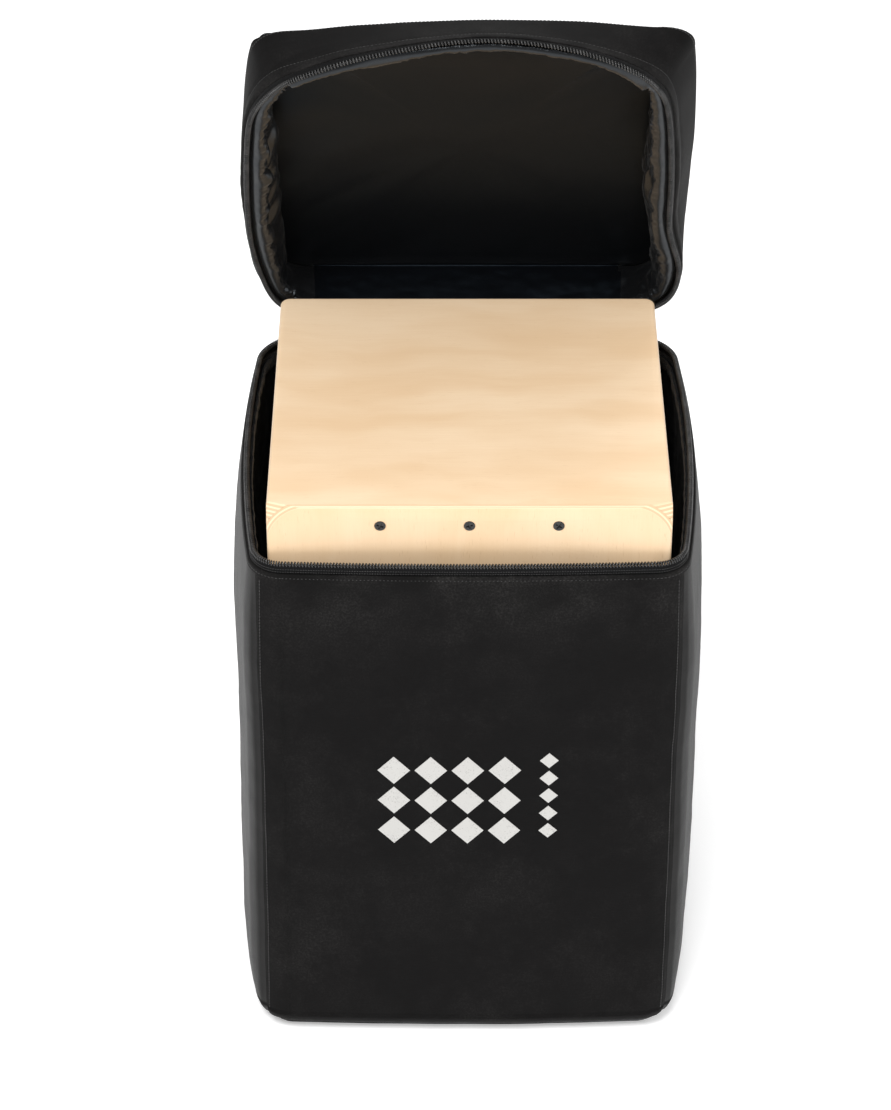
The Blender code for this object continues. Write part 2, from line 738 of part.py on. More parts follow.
def make_bag_lining():
    """A thin cloth cup just inside the padded walls."""
    outer = WALL + GAP
    mesh = cup_mesh(
        lambda s, inset, height: (*plan_point(s, inset), height),
        outer,
        outer + LINING,
        [PANEL_TOP - 0.001, WALL_BOTTOM],
        WALL_BOTTOM + LINING,
    )
    add("bag_lining", mesh, "lining_cloth")


def flare_angle(x, y):
    """How far the lid's loose front edge leans outwards here."""
    if y > 0:
        return 0.0
    offset = x / BAG_HALF_WIDTH - FLARE_CENTRE_SHARE
    share = abs(offset) / (FLARE_RIGHT_SHARE if offset > 0 else FLARE_LEFT_SHARE)
    front = min(1.0, max(0.0, (y / BAG_FRONT - 0.75) / 0.25))
    return FLARE * max(0.0, 1 - share * share) ** 1.25 * front


def lid_wall_point(s, inset, height):
    """A point on the shut lid's wall, with its lower part swung outwards along the front."""
    x, y = plan_point(s, inset)
    angle = flare_angle(*plan_point(s, 0.0))
    drop = LID_WALL_TOP - height
    return (x, y - drop * math.sin(angle), LID_WALL_TOP - drop * math.cos(angle))


def lid_strip(s, outer, inner, heights):
    """A section of the lid's wall: along its outside and back along its inside."""
    ring = [lid_wall_point(s, outer, z) for z in heights]
    return ring + [lid_wall_point(s, inner, z) for z in reversed(heights)]


def bag_strip(s, outer, inner, low, high):
    """A section of an upright band on the bag's rim."""
    return [
        (*plan_point(s, outer), high),
        (*plan_point(s, outer), low),
        (*plan_point(s, inner), low),
        (*plan_point(s, inner), high),
    ]


def zip_stations():
    """From the zip's left end round the front to its right end."""
    return plan_stations(s_at_back(-ZIP_END), s_at_back(ZIP_END) + 8)


def make_rim_trim():
    """The bag's half of the zip and the bound seam inside its rim."""
    marks = zip_stations()
    tape_out = ZIP_INSET - COIL_RADIUS
    low = FOLD_HEIGHT - COIL_FROM_FOLD - COIL_RADIUS
    base = PANEL_TOP + GAP
    rings = [bag_strip(s, tape_out, tape_out + TAPE_THICKNESS, base, low - GAP) for s in marks]
    add("bag_zip_tape", lofted_mesh(rings, False), "zip_plastic")
    centre = FOLD_HEIGHT - COIL_FROM_FOLD
    path = [(*plan_point(s, ZIP_INSET), centre) for s in marks]
    add("bag_zip_coil", tube_curve(path, COIL_RADIUS), "zip_plastic")
    outer = WALL + LINING + 3 * GAP
    top = PANEL_TOP
    rings = [
        bag_strip(s, outer, outer + BINDING_THICKNESS, top - BINDING_HEIGHT, top)
        for s in plan_stations()[:-1]
    ]
    binding = add("bag_rim_binding", lofted_mesh(rings, True), "lining_cloth")
    binding.location.z = 0.0


def make_hinge_strip():
    """The bag's side of the fold that joins bag and lid along the back."""
    middle = BAG_BACK - WALL / 2
    low = (-FOLD_HALF, middle - 0.001, PANEL_TOP + GAP)
    high = (FOLD_HALF, middle + 0.001, FOLD_HEIGHT - 0.003)
    add("lid_hinge_strip", box_mesh(low, high), "bag_nylon")


def make_sliders():
    """A slider parked at each end of the zip, with its pull on an upright pin."""
    centre_y = BAG_BACK - ZIP_INSET
    for side, name in ((-1, "left"), (1, "right")):
        x = side * SLIDER_X
        low = (x - SLIDER_LENGTH / 2, centre_y - SLIDER_DEPTH / 2, FOLD_HEIGHT - SLIDER_HEIGHT / 2)
        high = (x + SLIDER_LENGTH / 2, centre_y + SLIDER_DEPTH / 2, FOLD_HEIGHT + SLIDER_HEIGHT / 2)
        slider = add(f"zip_slider_{name}", box_mesh(low, high), "slider_metal")
        bevel = slider.modifiers.new("round", "BEVEL")
        bevel.width = 0.0012
        bevel.segments = 2
        pivot = bpy.data.objects.new(f"pull_pin_{name}", None)
        PARTS.objects.link(pivot)
        pivot.location = (x, high[1] + GAP + PULL_THICKNESS / 2, FOLD_HEIGHT)
        points = [(0.0, -PULL_WIDTH * 0.35), (-side * PULL_LENGTH * 0.35, -PULL_WIDTH * 0.35)]
        tip = [(-side * PULL_LENGTH * 0.45, -PULL_WIDTH / 2), (-side * PULL_LENGTH, -PULL_WIDTH / 2)]
        lower = points + tip
        upper = [(px, -pz) for px, pz in reversed(lower)]
        pull = add(f"zip_pull_{name}", outline_curve(lower + upper, PULL_THICKNESS), "slider_metal")
        pull.parent = pivot
        pull.rotation_euler.x = math.pi / 2


def make_lid(pivot):
    """The padded lid, modelled shut and swung open on the fold by its parent."""
    back = Vector((0.0, -FOLD_Y, -FOLD_HEIGHT))

    def place(obj):
        obj.parent = pivot
        obj.location = obj.location + back
        return obj

    outline = [plan_point(s, 0.0) for s in plan_stations()[:-1]]
    panel = add("lid_top_panel", outline_curve(outline, WALL), "bag_nylon")
    panel.location.z = LID_TOP - WALL / 2
    place(panel)
    marks = plan_stations()[:-1]
    heights = [LID_WALL_TOP, LID_EDGE + BINDING_HEIGHT, LID_EDGE]
    rings = [lid_strip(s, 0.0, WALL, heights) for s in marks]
    place(add("lid_side_band", lofted_mesh(rings, True), "bag_nylon"))
    skin = WALL + GAP
    bound = LID_EDGE + BINDING_HEIGHT
    heights = [LID_EDGE + 0.002, bound, LID_WALL_TOP]
    mesh = cup_mesh(lid_wall_point, skin, skin + LINING, heights, LID_WALL_TOP - LINING)
    place(add("lid_lining", mesh, "lining_cloth"))
    trim = WALL + LINING + 4 * GAP
    heights = [LID_EDGE + BINDING_HEIGHT, LID_EDGE]
    rings = [lid_strip(s, trim, trim + BINDING_THICKNESS, heights) for s in marks]
    place(add("lid_rim_binding", lofted_mesh(rings, True), "lining_cloth"))
    zip_marks = zip_stations()
    tape_out = ZIP_INSET - COIL_RADIUS
    heights = [LID_EDGE - GAP, FOLD_HEIGHT + COIL_FROM_FOLD + COIL_RADIUS + GAP]
    rings = [lid_strip(s, tape_out, tape_out + TAPE_THICKNESS, heights) for s in zip_marks]
    place(add("lid_zip_tape", lofted_mesh(rings, False), "zip_plastic"))
    path = [lid_wall_point(s, ZIP_INSET, FOLD_HEIGHT + COIL_FROM_FOLD) for s in zip_marks]
    place(add("lid_zip_coil", tube_curve(path, COIL_RADIUS), "zip_plastic"))


def strip_outline(path, half_width):
    """A band of this half width about a path in a plane."""
    left, right = [], []
    for i, (x, y) in enumerate(path):
        ax, ay = path[max(0, i - 1)]
        bx, by = path[min(len(path) - 1, i + 1)]
        length = math.hypot(bx - ax, by - ay)
        nx, ny = -(by - ay) / length, (bx - ax) / length
        left.append((x + nx * half_width, y + ny * half_width))
        right.append((x - nx * half_width, y - ny * half_width))
    return left + right[::-1]


def strap_path(side, start, end, steps=8):
    """A gently curving line down the bag's back, between two heights."""
    points = []
    for i in range(steps + 1):
        z = start + (end - start) * i / steps
        share = (STRAP_TOP - z) / STRAP_TOP
        points.append((side * BAG_HALF_WIDTH * (0.42 + 0.37 * share**1.6), z))
    return points


def make_straps():
    """Two shoulder straps down the back, each a padded upper part, a buckle and webbing."""
    face = BAG_BACK + GAP
    pad_end, web_end = PANEL_TOP * STRAP_PAD_SHARE, STRAP_END
    for side, name in ((-1, "left"), (1, "right")):
        flat = (
            (f"shoulder_pad_{name}", STRAP_TOP, pad_end, STRAP_PAD_WIDTH, STRAP_PAD_THICKNESS, 0.0, "bag_nylon"),
            (f"strap_webbing_{name}", pad_end - GAP * 4, web_end, WEBBING_WIDTH, WEBBING_THICKNESS, 0.0, "webbing"),
        )
        for piece, start, end, width, thickness, out, finish in flat:
            outline = strip_outline(strap_path(side, start, end), width / 2)
            obj = add(piece, outline_curve([(x, z) for x, z in outline], thickness), finish)
            obj.rotation_euler.x = math.pi / 2
            obj.location.y = face + out + thickness / 2
        x, z = strap_path(side, pad_end - BUCKLE_HEIGHT / 2 - GAP * 12, pad_end, 1)[0]
        y = face + WEBBING_THICKNESS + GAP
        half, tall = BUCKLE_WIDTH / 2, BUCKLE_HEIGHT / 2
        buckle = add(
            f"strap_buckle_{name}",
            box_mesh((x - half, y, z - tall), (x + half, y + BUCKLE_THICKNESS, z + tall)),
            "zip_plastic",
        )
        for row in (-1, 1):
            slot_z = z + row * BUCKLE_HEIGHT * 0.22
            slot_low = (x - half * 0.75, y - 0.002, slot_z - BUCKLE_SLOT / 2)
            slot_high = (x + half * 0.75, y + BUCKLE_THICKNESS + 0.002, slot_z + BUCKLE_SLOT / 2)
            cutter = add(f"buckle_slot_{name}_{row:+d}", box_mesh(slot_low, slot_high))
            boolean(buckle, "DIFFERENCE", cutter)


def make_grab_handle():
    """A webbing loop between the shoulder straps, with its two ends sewn flat."""
    face = BAG_BACK + GAP + WEBBING_THICKNESS / 2
    steps = 12
    path = [(-HANDLE_HALF_SPAN - HANDLE_FOOT, face), (-HANDLE_HALF_SPAN, face)]
    for i in range(1, steps):
        angle = math.pi * i / steps
        path.append(
            (-HANDLE_HALF_SPAN * math.cos(angle), face + HANDLE_RISE * math.sin(angle) ** 0.8)
        )
    path += [(HANDLE_HALF_SPAN, face), (HANDLE_HALF_SPAN + HANDLE_FOOT, face)]
    outline = strip_outline(path, WEBBING_THICKNESS / 2)
    handle = add("grab_handle", outline_curve(outline, WEBBING_WIDTH), "webbing")
    handle.location.z = PANEL_TOP - HANDLE_DROP


def make_bag():
    make_bag_panels()
    make_bag_lining()
    make_rim_trim()
    make_hinge_strip()
    make_sliders()
    pivot = bpy.data.objects.new("lid_fold_axis", None)
    PARTS.objects.link(pivot)
    pivot.location = (0.0, FOLD_Y, FOLD_HEIGHT)
    pivot.rotation_euler.x = -LID_OPEN
    make_lid(pivot)
    make_straps()
    make_grab_handle()


make_drum()
make_bag()
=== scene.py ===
"""Looks for a box drum that stands in its padded carry bag, with the bag's lid thrown open.

The drum's boards are modelled afresh round the fixed frame, and the bag, its lid, linings, zip and
straps are built as the soft, sewn things they are.
"""

import logging
import math
from collections.abc import Callable, Iterable, Sequence
from dataclasses import dataclass, field
from enum import Enum

import bmesh
import bpy
import numpy as np
from mathutils import Matrix, Vector, noise


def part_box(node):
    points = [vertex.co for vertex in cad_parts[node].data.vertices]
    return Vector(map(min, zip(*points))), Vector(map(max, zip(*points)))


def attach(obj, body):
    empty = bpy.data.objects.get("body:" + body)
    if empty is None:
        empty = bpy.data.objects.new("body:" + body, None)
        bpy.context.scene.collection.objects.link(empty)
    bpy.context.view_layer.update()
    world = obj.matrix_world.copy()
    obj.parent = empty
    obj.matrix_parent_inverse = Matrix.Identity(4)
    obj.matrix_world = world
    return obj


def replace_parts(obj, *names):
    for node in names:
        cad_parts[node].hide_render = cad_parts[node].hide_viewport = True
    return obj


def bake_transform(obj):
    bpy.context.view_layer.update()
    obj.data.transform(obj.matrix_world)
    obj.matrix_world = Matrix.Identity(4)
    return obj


LOG = logging.getLogger("cajon_bag")
MM = 0.001
FOLD_STRETCH = np.array([0.12, 1.0, 1.0])  # long folds run this much further one way
Colour = tuple[float, float, float]
Socket = bpy.types.NodeSocket
Wire = Socket | float | Colour

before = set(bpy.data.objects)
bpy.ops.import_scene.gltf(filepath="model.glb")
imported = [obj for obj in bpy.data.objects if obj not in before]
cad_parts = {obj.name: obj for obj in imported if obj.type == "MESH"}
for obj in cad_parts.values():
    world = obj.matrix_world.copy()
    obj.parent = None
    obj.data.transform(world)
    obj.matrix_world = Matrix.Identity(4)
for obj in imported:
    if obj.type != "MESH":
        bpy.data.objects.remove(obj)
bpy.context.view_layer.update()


# ------------------------------------------------------------------ shaders


class Nodes:
    """Short calls that add and join nodes in one tree."""

    def __init__(self, tree: bpy.types.NodeTree) -> None:
        """Keep the tree that the nodes go into."""
        self.tree = tree

    def add(self, kind: str, **settings: object) -> bpy.types.Node:
        """Add a node.

        Args:
            kind: The node's type name, without its ShaderNode start.
            **settings: Properties set on the node.

        Returns:
            The new node.
        """
        node = self.tree.nodes.new("ShaderNode" + kind)
        for name, value in settings.items():
            setattr(node, name, value)
        return node

    def feed(self, target: Socket, value: Wire | None) -> None:
        """Join a socket to the target, or set a plain value on it."""
        if value is None:
            return
        if isinstance(value, bpy.types.NodeSocket):
            self.tree.links.new(value, target)
        elif isinstance(value, tuple) and len(target.default_value) == 4:
            target.default_value = (*value, 1.0)
        else:
            target.default_value = value

    def math(self, operation: str, a: Wire, b: Wire | None = None, clamp: bool = False) -> Socket:
        """Add a Math node and return its value."""
        node = self.add("Math", operation=operation, use_clamp=clamp)
        self.feed(node.inputs[0], a)
        self.feed(node.inputs[1], b)
        return node.outputs[0]

    def mix(self, share: Wire, a: Wire, b: Wire, blend: str = "MIX") -> Socket:
        """Add a colour Mix node and return its colour."""
        node = self.add("Mix", data_type="RGBA", blend_type=blend, clamp_factor=True)
        self.feed(node.inputs[0], share)
        self.feed(node.inputs[6], a)
        self.feed(node.inputs[7], b)
        return node.outputs[2]

    def ramp(self, value: Wire, low: float, high: float, to_low: float = 0.0, to_high: float = 1.0) -> Socket:
        """Spread a value from one range to another, clamped, with soft ends."""
        node = self.add("MapRange", interpolation_type="SMOOTHSTEP", clamp=True)
        for socket, number in zip(node.inputs[:5], (value, low, high, to_low, to_high)):
            self.feed(socket, number)
        return node.outputs[0]

    def stretch(self, vector: Socket, scale: Colour, turn: Colour = (0.0, 0.0, 0.0)) -> Socket:
        """Scale and turn a pattern's coordinates."""
        node = self.add("Mapping")
        self.feed(node.inputs["Vector"], vector)
        node.inputs["Scale"].default_value = scale
        node.inputs["Rotation"].default_value = turn
        return node.outputs[0]

    def cloud(self, vector: Socket, scale: float, detail: float = 3.0, rough: float = 0.5) -> Socket:
        """Add noise and return its value."""
        node = self.add("TexNoise")
        self.feed(node.inputs["Vector"], vector)
        node.inputs["Scale"].default_value = scale
        node.inputs["Detail"].default_value = detail
        node.inputs["Roughness"].default_value = rough
        return node.outputs["Fac"]

    def bump(
        self, height: Wire, distance: float, strength: float = 1.0, under: Socket | None = None
    ) -> Socket:
        """Add a Bump node and return its normal."""
        node = self.add("Bump")
        node.inputs["Strength"].default_value = strength
        node.inputs["Distance"].default_value = distance
        self.feed(node.inputs["Height"], height)
        self.feed(node.inputs["Normal"], under)
        return node.outputs[0]

    def place(self) -> Socket:
        """The piece's own coordinates in metres."""
        return self.add("TexCoord").outputs["Object"]

    def cloth_place(self) -> Socket:
        """The cloth's own flat coordinates in metres."""
        return self.add("UVMap").outputs[0]

    def worn(self) -> Socket:
        """How much a point of cloth is rubbed pale, as painted on its mesh."""
        return self.add("Attribute", attribute_name="worn").outputs["Fac"]

    def group(self, tree: bpy.types.NodeTree, **inputs: Wire) -> bpy.types.Node:
        """Place a node group and feed its inputs, with _ in a name for a space."""
        node = self.tree.nodes.new("ShaderNodeGroup")
        node.node_tree = tree
        for name, value in inputs.items():
            self.feed(node.inputs[name.replace("_", " ")], value)
        return node


def new_group(name: str, inputs: dict[str, float | Colour | None], outputs: Sequence[str]) -> tuple:
    """Start a shader node group.

    Args:
        name: The group's name.
        inputs: Each input's name with its usual value: a number, a colour, or None for a vector.
        outputs: Names of its value outputs, or of colours where they end in Colour.

    Returns:
        The tree, its Nodes, the sockets that bring its inputs, and its output node.
    """
    tree = bpy.data.node_groups.new(name, "ShaderNodeTree")
    for label, value in inputs.items():
        kind = "NodeSocketFloat" if isinstance(value, float) else "NodeSocketColor"
        kind = "NodeSocketVector" if value is None else kind
        socket = tree.interface.new_socket(label, in_out="INPUT", socket_type=kind)
        if value is not None:
            socket.default_value = (*value, 1.0) if isinstance(value, tuple) else value
    for label in outputs:
        kind = "NodeSocketColor" if label.endswith("Colour") else "NodeSocketFloat"
        tree.interface.new_socket(label, in_out="OUTPUT", socket_type=kind)
    start = tree.nodes.new("NodeGroupInput")
    end = tree.nodes.new("NodeGroupOutput")
    return tree, Nodes(tree), {s.name: s for s in start.outputs if s.name}, end


def build_weave_group() -> bpy.types.NodeTree:
    """Plain weave: threads over and under each other, with uneven thickness."""
    tree, nodes, given, end = new_group("plain_weave", {"Place": None, "Threads": 1800.0}, ("Height",))
    parts = nodes.add("SeparateXYZ")
    nodes.feed(parts.inputs[0], given["Place"])
    waves = []
    for axis in (0, 1):
        turns = nodes.math("MULTIPLY", parts.outputs[axis], given["Threads"])
        waves.append(nodes.math("SINE", turns))
    crossed = nodes.math("MULTIPLY", waves[0], waves[1])
    slub = nodes.cloud(nodes.stretch(given["Place"], (160.0, 900.0, 1.0)), 1.0, 2.0)
    height = nodes.math("ADD", nodes.math("MULTIPLY", crossed, 0.5), slub)
    nodes.feed(end.inputs["Height"], height)
    return tree


def build_dust_group() -> bpy.types.NodeTree:
    """Faint pale dust: soft patches broken up by fine specks."""
    tree, nodes, given, end = new_group("dust", {"Place": None, "Amount": 0.5, "Rubbed": 0.0}, ("Mask",))
    patches = nodes.ramp(nodes.cloud(given["Place"], 10.0, 7.0, 0.75), 0.42, 0.78)
    streaks = nodes.ramp(nodes.cloud(nodes.stretch(given["Place"], (9.0, 60.0, 9.0)), 1.0, 4.0, 0.65), 0.45, 0.8)
    specks = nodes.ramp(nodes.cloud(given["Place"], 620.0, 2.0, 0.7), 0.40, 0.72)
    both = nodes.math("MAXIMUM", nodes.math("MULTIPLY", patches, 0.42), nodes.math("MULTIPLY", streaks, 0.26))
    rubbed = nodes.math("ADD", both, nodes.math("MULTIPLY", given["Rubbed"], 0.9), clamp=True)
    broken = nodes.math("MULTIPLY", rubbed, nodes.math("ADD", nodes.math("MULTIPLY", specks, 0.75), 0.25))
    nodes.feed(end.inputs["Mask"], nodes.math("MULTIPLY", broken, given["Amount"], clamp=True))
    return tree


def build_ply_group() -> bpy.types.NodeTree:
    """Plywood's layers by depth below its face: light and dark veneers with thin glue lines."""
    tree, nodes, given, end = new_group(
        "ply_layers", {"Depth": 0.0, "Veneer": 0.0013, "Face Colour": (0.8, 0.6, 0.4)}, ("Colour",)
    )
    count = nodes.math("DIVIDE", given["Depth"], given["Veneer"])
    phase = nodes.math("FRACT", nodes.math("MULTIPLY", count, 0.5))
    dark = nodes.ramp(phase, 0.46, 0.54)
    fraction = nodes.math("FRACT", count)
    centre = nodes.math("ABSOLUTE", nodes.math("SUBTRACT", fraction, 0.5))
    glue = nodes.ramp(centre, 0.40, 0.5)
    inside = nodes.ramp(count, 0.55, 0.95)
    layer = nodes.mix(nodes.math("MULTIPLY", dark, 0.55), (0.90, 0.70, 0.47), (0.56, 0.33, 0.16))
    layer = nodes.mix(nodes.math("MULTIPLY", glue, 0.3), layer, (0.30, 0.16, 0.07))
    nodes.feed(end.inputs["Colour"], nodes.mix(inside, given["Face Colour"], layer))
    return tree


def build_grain_group() -> bpy.types.NodeTree:
    """Pale birch figure: broad clouds, soft bands along the grain and fine fibre."""
    tree, nodes, given, end = new_group(
        "birch_figure", {"Place": None, "Streaks": 0.5}, ("Tone", "Fibre", "Fleck")
    )
    place = given["Place"]
    warp = nodes.add("VectorMath", operation="ADD")
    wobble = nodes.add("TexNoise")
    nodes.feed(wobble.inputs["Vector"], place)
    wobble.inputs["Scale"].default_value = 9.0
    wobble.inputs["Detail"].default_value = 2.0
    nodes.feed(warp.inputs[0], place)
    scaled = nodes.add("VectorMath", operation="SCALE")
    nodes.feed(scaled.inputs[0], wobble.outputs["Color"])
    scaled.inputs["Scale"].default_value = 0.05
    nodes.feed(warp.inputs[1], scaled.outputs[0])
    bent = warp.outputs[0]
    clouds = nodes.cloud(nodes.stretch(bent, (5.0, 15.0, 15.0)), 1.0, 3.0, 0.55)
    bands = nodes.cloud(nodes.stretch(bent, (3.0, 55.0, 55.0)), 1.0, 3.0, 0.6)
    tone = nodes.math("ADD", nodes.math("MULTIPLY", clouds, 0.72), nodes.math("MULTIPLY", bands, 0.28))
    fibre = nodes.cloud(nodes.stretch(place, (22.0, 900.0, 900.0)), 1.0, 3.0, 0.6)
    fleck = nodes.cloud(nodes.stretch(place, (120.0, 1100.0, 1100.0)), 1.0, 1.0, 0.5)
    streak = nodes.math("MULTIPLY", nodes.ramp(fleck, 0.66, 0.80), given["Streaks"])
    nodes.feed(end.inputs["Tone"], nodes.ramp(tone, 0.34, 0.66))
    nodes.feed(end.inputs["Fibre"], fibre)
    nodes.feed(end.inputs["Fleck"], streak)
    return tree


@dataclass
class Groups:
    """The shader effects that several finishes share."""

    weave: bpy.types.NodeTree = field(default_factory=build_weave_group)
    dust: bpy.types.NodeTree = field(default_factory=build_dust_group)
    ply: bpy.types.NodeTree = field(default_factory=build_ply_group)
    grain: bpy.types.NodeTree = field(default_factory=build_grain_group)


def start_material(name: str, **fixed: float | Colour) -> tuple:
    """Start a material.

    Args:
        name: Its name.
        **fixed: Constants for the shader's own sockets, with _ for a space.

    Returns:
        The material, its Nodes and its Principled shader.
    """
    material = bpy.data.materials.new(name)
    material.use_nodes = True
    nodes = Nodes(material.node_tree)
    shader = material.node_tree.nodes["Principled BSDF"]
    for label, value in fixed.items():
        nodes.feed(shader.inputs[label.replace("_", " ")], value)
    return material, nodes, shader


class Grain(Enum):
    """Which way the grain runs on a board."""

    ACROSS = (0.0, 0.0, 0.0)
    UPRIGHT = (0.0, math.pi / 2, 0.0)
    ALONG_DEPTH = (0.0, 0.0, math.pi / 2)


@dataclass(frozen=True)
class Birch:
    """Clear lacquered birch plywood, with its layers showing at cut edges."""

    name: str
    grain: Grain
    face_axis: int  # 0, 1 or 2: the axis that the board is thin along
    face_at: float  # where its outer face lies on that axis
    inward: float  # +1 or -1: the way from that face into the board
    veneer: float
    light: Colour = (0.900, 0.690, 0.470)
    dark: Colour = (0.820, 0.585, 0.362)
    streaks: float = 0.35

    def build(self, groups: Groups) -> bpy.types.Material:
        """Build the material."""
        material, nodes, shader = start_material(self.name, Coat_Weight=0.12, Coat_Roughness=0.32)
        place = nodes.place()
        turned = nodes.stretch(place, (1.0, 1.0, 1.0), self.grain.value)
        figure = nodes.group(groups.grain, Place=turned, Streaks=self.streaks)
        tone, fibre, fleck = figure.outputs[:3]
        colour = nodes.mix(tone, self.light, self.dark)
        colour = nodes.mix(nodes.ramp(fibre, 0.3, 0.75, 0.0, 0.12), colour, (0.70, 0.46, 0.25))
        colour = nodes.mix(fleck, colour, (0.64, 0.42, 0.22))
        parts = nodes.add("SeparateXYZ")
        nodes.feed(parts.inputs[0], place)
        gap = nodes.math("SUBTRACT", parts.outputs[self.face_axis], self.face_at)
        depth = nodes.math("MULTIPLY", gap, self.inward)
        layers = nodes.group(groups.ply, Depth=depth, Veneer=self.veneer, Face_Colour=colour)
        nodes.feed(shader.inputs["Base Color"], layers.outputs[0])
        nodes.feed(shader.inputs["Roughness"], nodes.ramp(fibre, 0.2, 0.8, 0.36, 0.5))
        nodes.feed(shader.inputs["Normal"], nodes.bump(fibre, 0.00006, 0.5))
        return material


@dataclass(frozen=True)
class Fabric:
    """Woven cloth of one colour, with dust and rubbed edges."""

    name: str
    deep: Colour
    pale: Colour
    threads: float
    roughness: float
    sheen: float
    dust: float
    relief: float
    gloss: float = 0.12
    cast: Colour = (1.0, 1.0, 1.0)  # colour of its shine
    sheen_roughness: float = 0.45

    def build(self, groups: Groups) -> bpy.types.Material:
        """Build the material."""
        material, nodes, shader = start_material(
            self.name,
            Sheen_Weight=self.sheen,
            Sheen_Roughness=self.sheen_roughness,
            Specular_IOR_Level=self.gloss,
            Specular_Tint=self.cast,
        )
        flat = nodes.cloth_place()
        weave = nodes.group(groups.weave, Place=flat, Threads=self.threads).outputs[0]
        dust = nodes.group(groups.dust, Place=nodes.place(), Amount=self.dust, Rubbed=nodes.worn()).outputs[0]
        colour = nodes.mix(dust, self.deep, self.pale)
        # Painted shade in the weave's hollows and painted light on its raised threads, with the slubs' uneven
        # tone.
        shade = nodes.ramp(weave, 0.1, 1.0, 0.82, 1.12)
        tint = nodes.add("CombineColor")
        for socket in tint.inputs[:3]:
            nodes.feed(socket, shade)
        nodes.feed(shader.inputs["Base Color"], nodes.mix(1.0, colour, tint.outputs[0], "MULTIPLY"))
        low, high = self.roughness - 0.06, self.roughness + 0.1
        nodes.feed(shader.inputs["Roughness"], nodes.ramp(dust, 0.0, 0.6, low, high))
        nodes.feed(shader.inputs["Normal"], nodes.bump(weave, self.relief))
        return material


@dataclass(frozen=True)
class Hard:
    """Metal, rubber or moulded plastic with a slight cast of unevenness and rubbed places."""

    name: str
    base: Colour
    worn: Colour
    metallic: float
    roughness: float
    scale: float
    relief: float

    def build(self, groups: Groups) -> bpy.types.Material:
        """Build the material."""
        material, nodes, shader = start_material(self.name, Metallic=self.metallic)
        place = nodes.place()
        blotch = nodes.cloud(place, self.scale, 4.0, 0.6)
        fine = nodes.cloud(place, self.scale * 9.0, 3.0, 0.6)
        dust = nodes.group(groups.dust, Place=place, Amount=0.6, Rubbed=0.2).outputs[0]
        colour = nodes.mix(nodes.ramp(blotch, 0.35, 0.75), self.base, self.worn)
        nodes.feed(shader.inputs["Base Color"], nodes.mix(nodes.math("MULTIPLY", dust, 0.3), colour, self.worn))
        low, high = self.roughness - 0.07, self.roughness + 0.12
        nodes.feed(shader.inputs["Roughness"], nodes.ramp(fine, 0.25, 0.75, low, high))
        nodes.feed(shader.inputs["Normal"], nodes.bump(fine, self.relief))
        return material


@dataclass(frozen=True)
class Ink:
    """Screen-printed ink on cloth, with the weave and a few bare specks showing through."""

    name: str
    ink: Colour
    cloth: Colour

    def build(self, groups: Groups) -> bpy.types.Material:
        """Build the material."""
        material, nodes, shader = start_material(self.name, Specular_IOR_Level=0.3)
        place = nodes.place()
        specks = nodes.cloud(place, 900.0, 3.0, 0.7)
        broad = nodes.cloud(place, 60.0, 3.0, 0.6)
        thin = nodes.math("ADD", nodes.math("MULTIPLY", specks, 0.75), nodes.math("MULTIPLY", broad, 0.25))
        bare = nodes.ramp(thin, 0.56, 0.70, 0.0, 0.75)
        nodes.feed(shader.inputs["Base Color"], nodes.mix(bare, self.ink, self.cloth))
        nodes.feed(shader.inputs["Roughness"], nodes.ramp(specks, 0.3, 0.7, 0.6, 0.8))
        weave = nodes.group(groups.weave, Place=place, Threads=9000.0).outputs[0]
        nodes.feed(shader.inputs["Normal"], nodes.bump(weave, 0.00006))
        return material


# ------------------------------------------------------------------ mesh helpers


def deselect() -> None:
    """Leave nothing selected."""
    for obj in bpy.context.selected_objects:
        obj.select_set(False)


def active(obj: bpy.types.Object) -> bpy.types.Object:
    """Select one object alone and make it active."""
    deselect()
    obj.select_set(True)
    bpy.context.view_layer.objects.active = obj
    return obj


def dress(obj: bpy.types.Object, material: bpy.types.Material) -> bpy.types.Object:
    """Give an object one material all over."""
    obj.data.materials.clear()
    obj.data.materials.append(material)
    return obj


def settle(obj: bpy.types.Object, name: str) -> bpy.types.Object:
    """Name an object and put its place into its mesh, unturned and unscaled."""
    active(obj)
    bpy.ops.object.transform_apply(location=True, rotation=True, scale=True)
    obj.name = name
    obj.data.name = name
    return obj


def block(low: Sequence[float], high: Sequence[float], name: str = "block") -> bpy.types.Object:
    """Add a box between two corners."""
    deselect()
    low, high = Vector(low), Vector(high)
    bpy.ops.mesh.primitive_cube_add(size=1.0, location=(low + high) / 2, scale=high - low)
    return settle(bpy.context.object, name)


def apply_all(obj: bpy.types.Object) -> bpy.types.Object:
    """Apply an object's modifiers in order."""
    active(obj)
    for modifier in list(obj.modifiers):
        bpy.ops.object.modifier_apply(modifier=modifier.name)
    return obj


def combine(obj: bpy.types.Object, other: bpy.types.Object, operation: str, keep: bool = False) -> None:
    """Cut or join with another object, which is then removed unless it is kept."""
    modifier = obj.modifiers.new("shape", "BOOLEAN")
    modifier.operation = operation
    modifier.solver = "EXACT"
    modifier.object = other
    apply_all(obj)
    if not keep:
        bpy.data.objects.remove(other)


def select_edges(obj: bpy.types.Object, test: Callable[[Vector, Vector], bool]) -> None:
    """Go into edit mode with only the edges selected whose two ends pass the test."""
    active(obj)
    bpy.ops.object.mode_set(mode="EDIT")
    bpy.ops.mesh.select_mode(type="EDGE")
    bpy.ops.mesh.select_all(action="DESELECT")
    shape = bmesh.from_edit_mesh(obj.data)
    for edge in shape.edges:
        edge.select_set(test(edge.verts[0].co, edge.verts[1].co))
    bmesh.update_edit_mesh(obj.data)


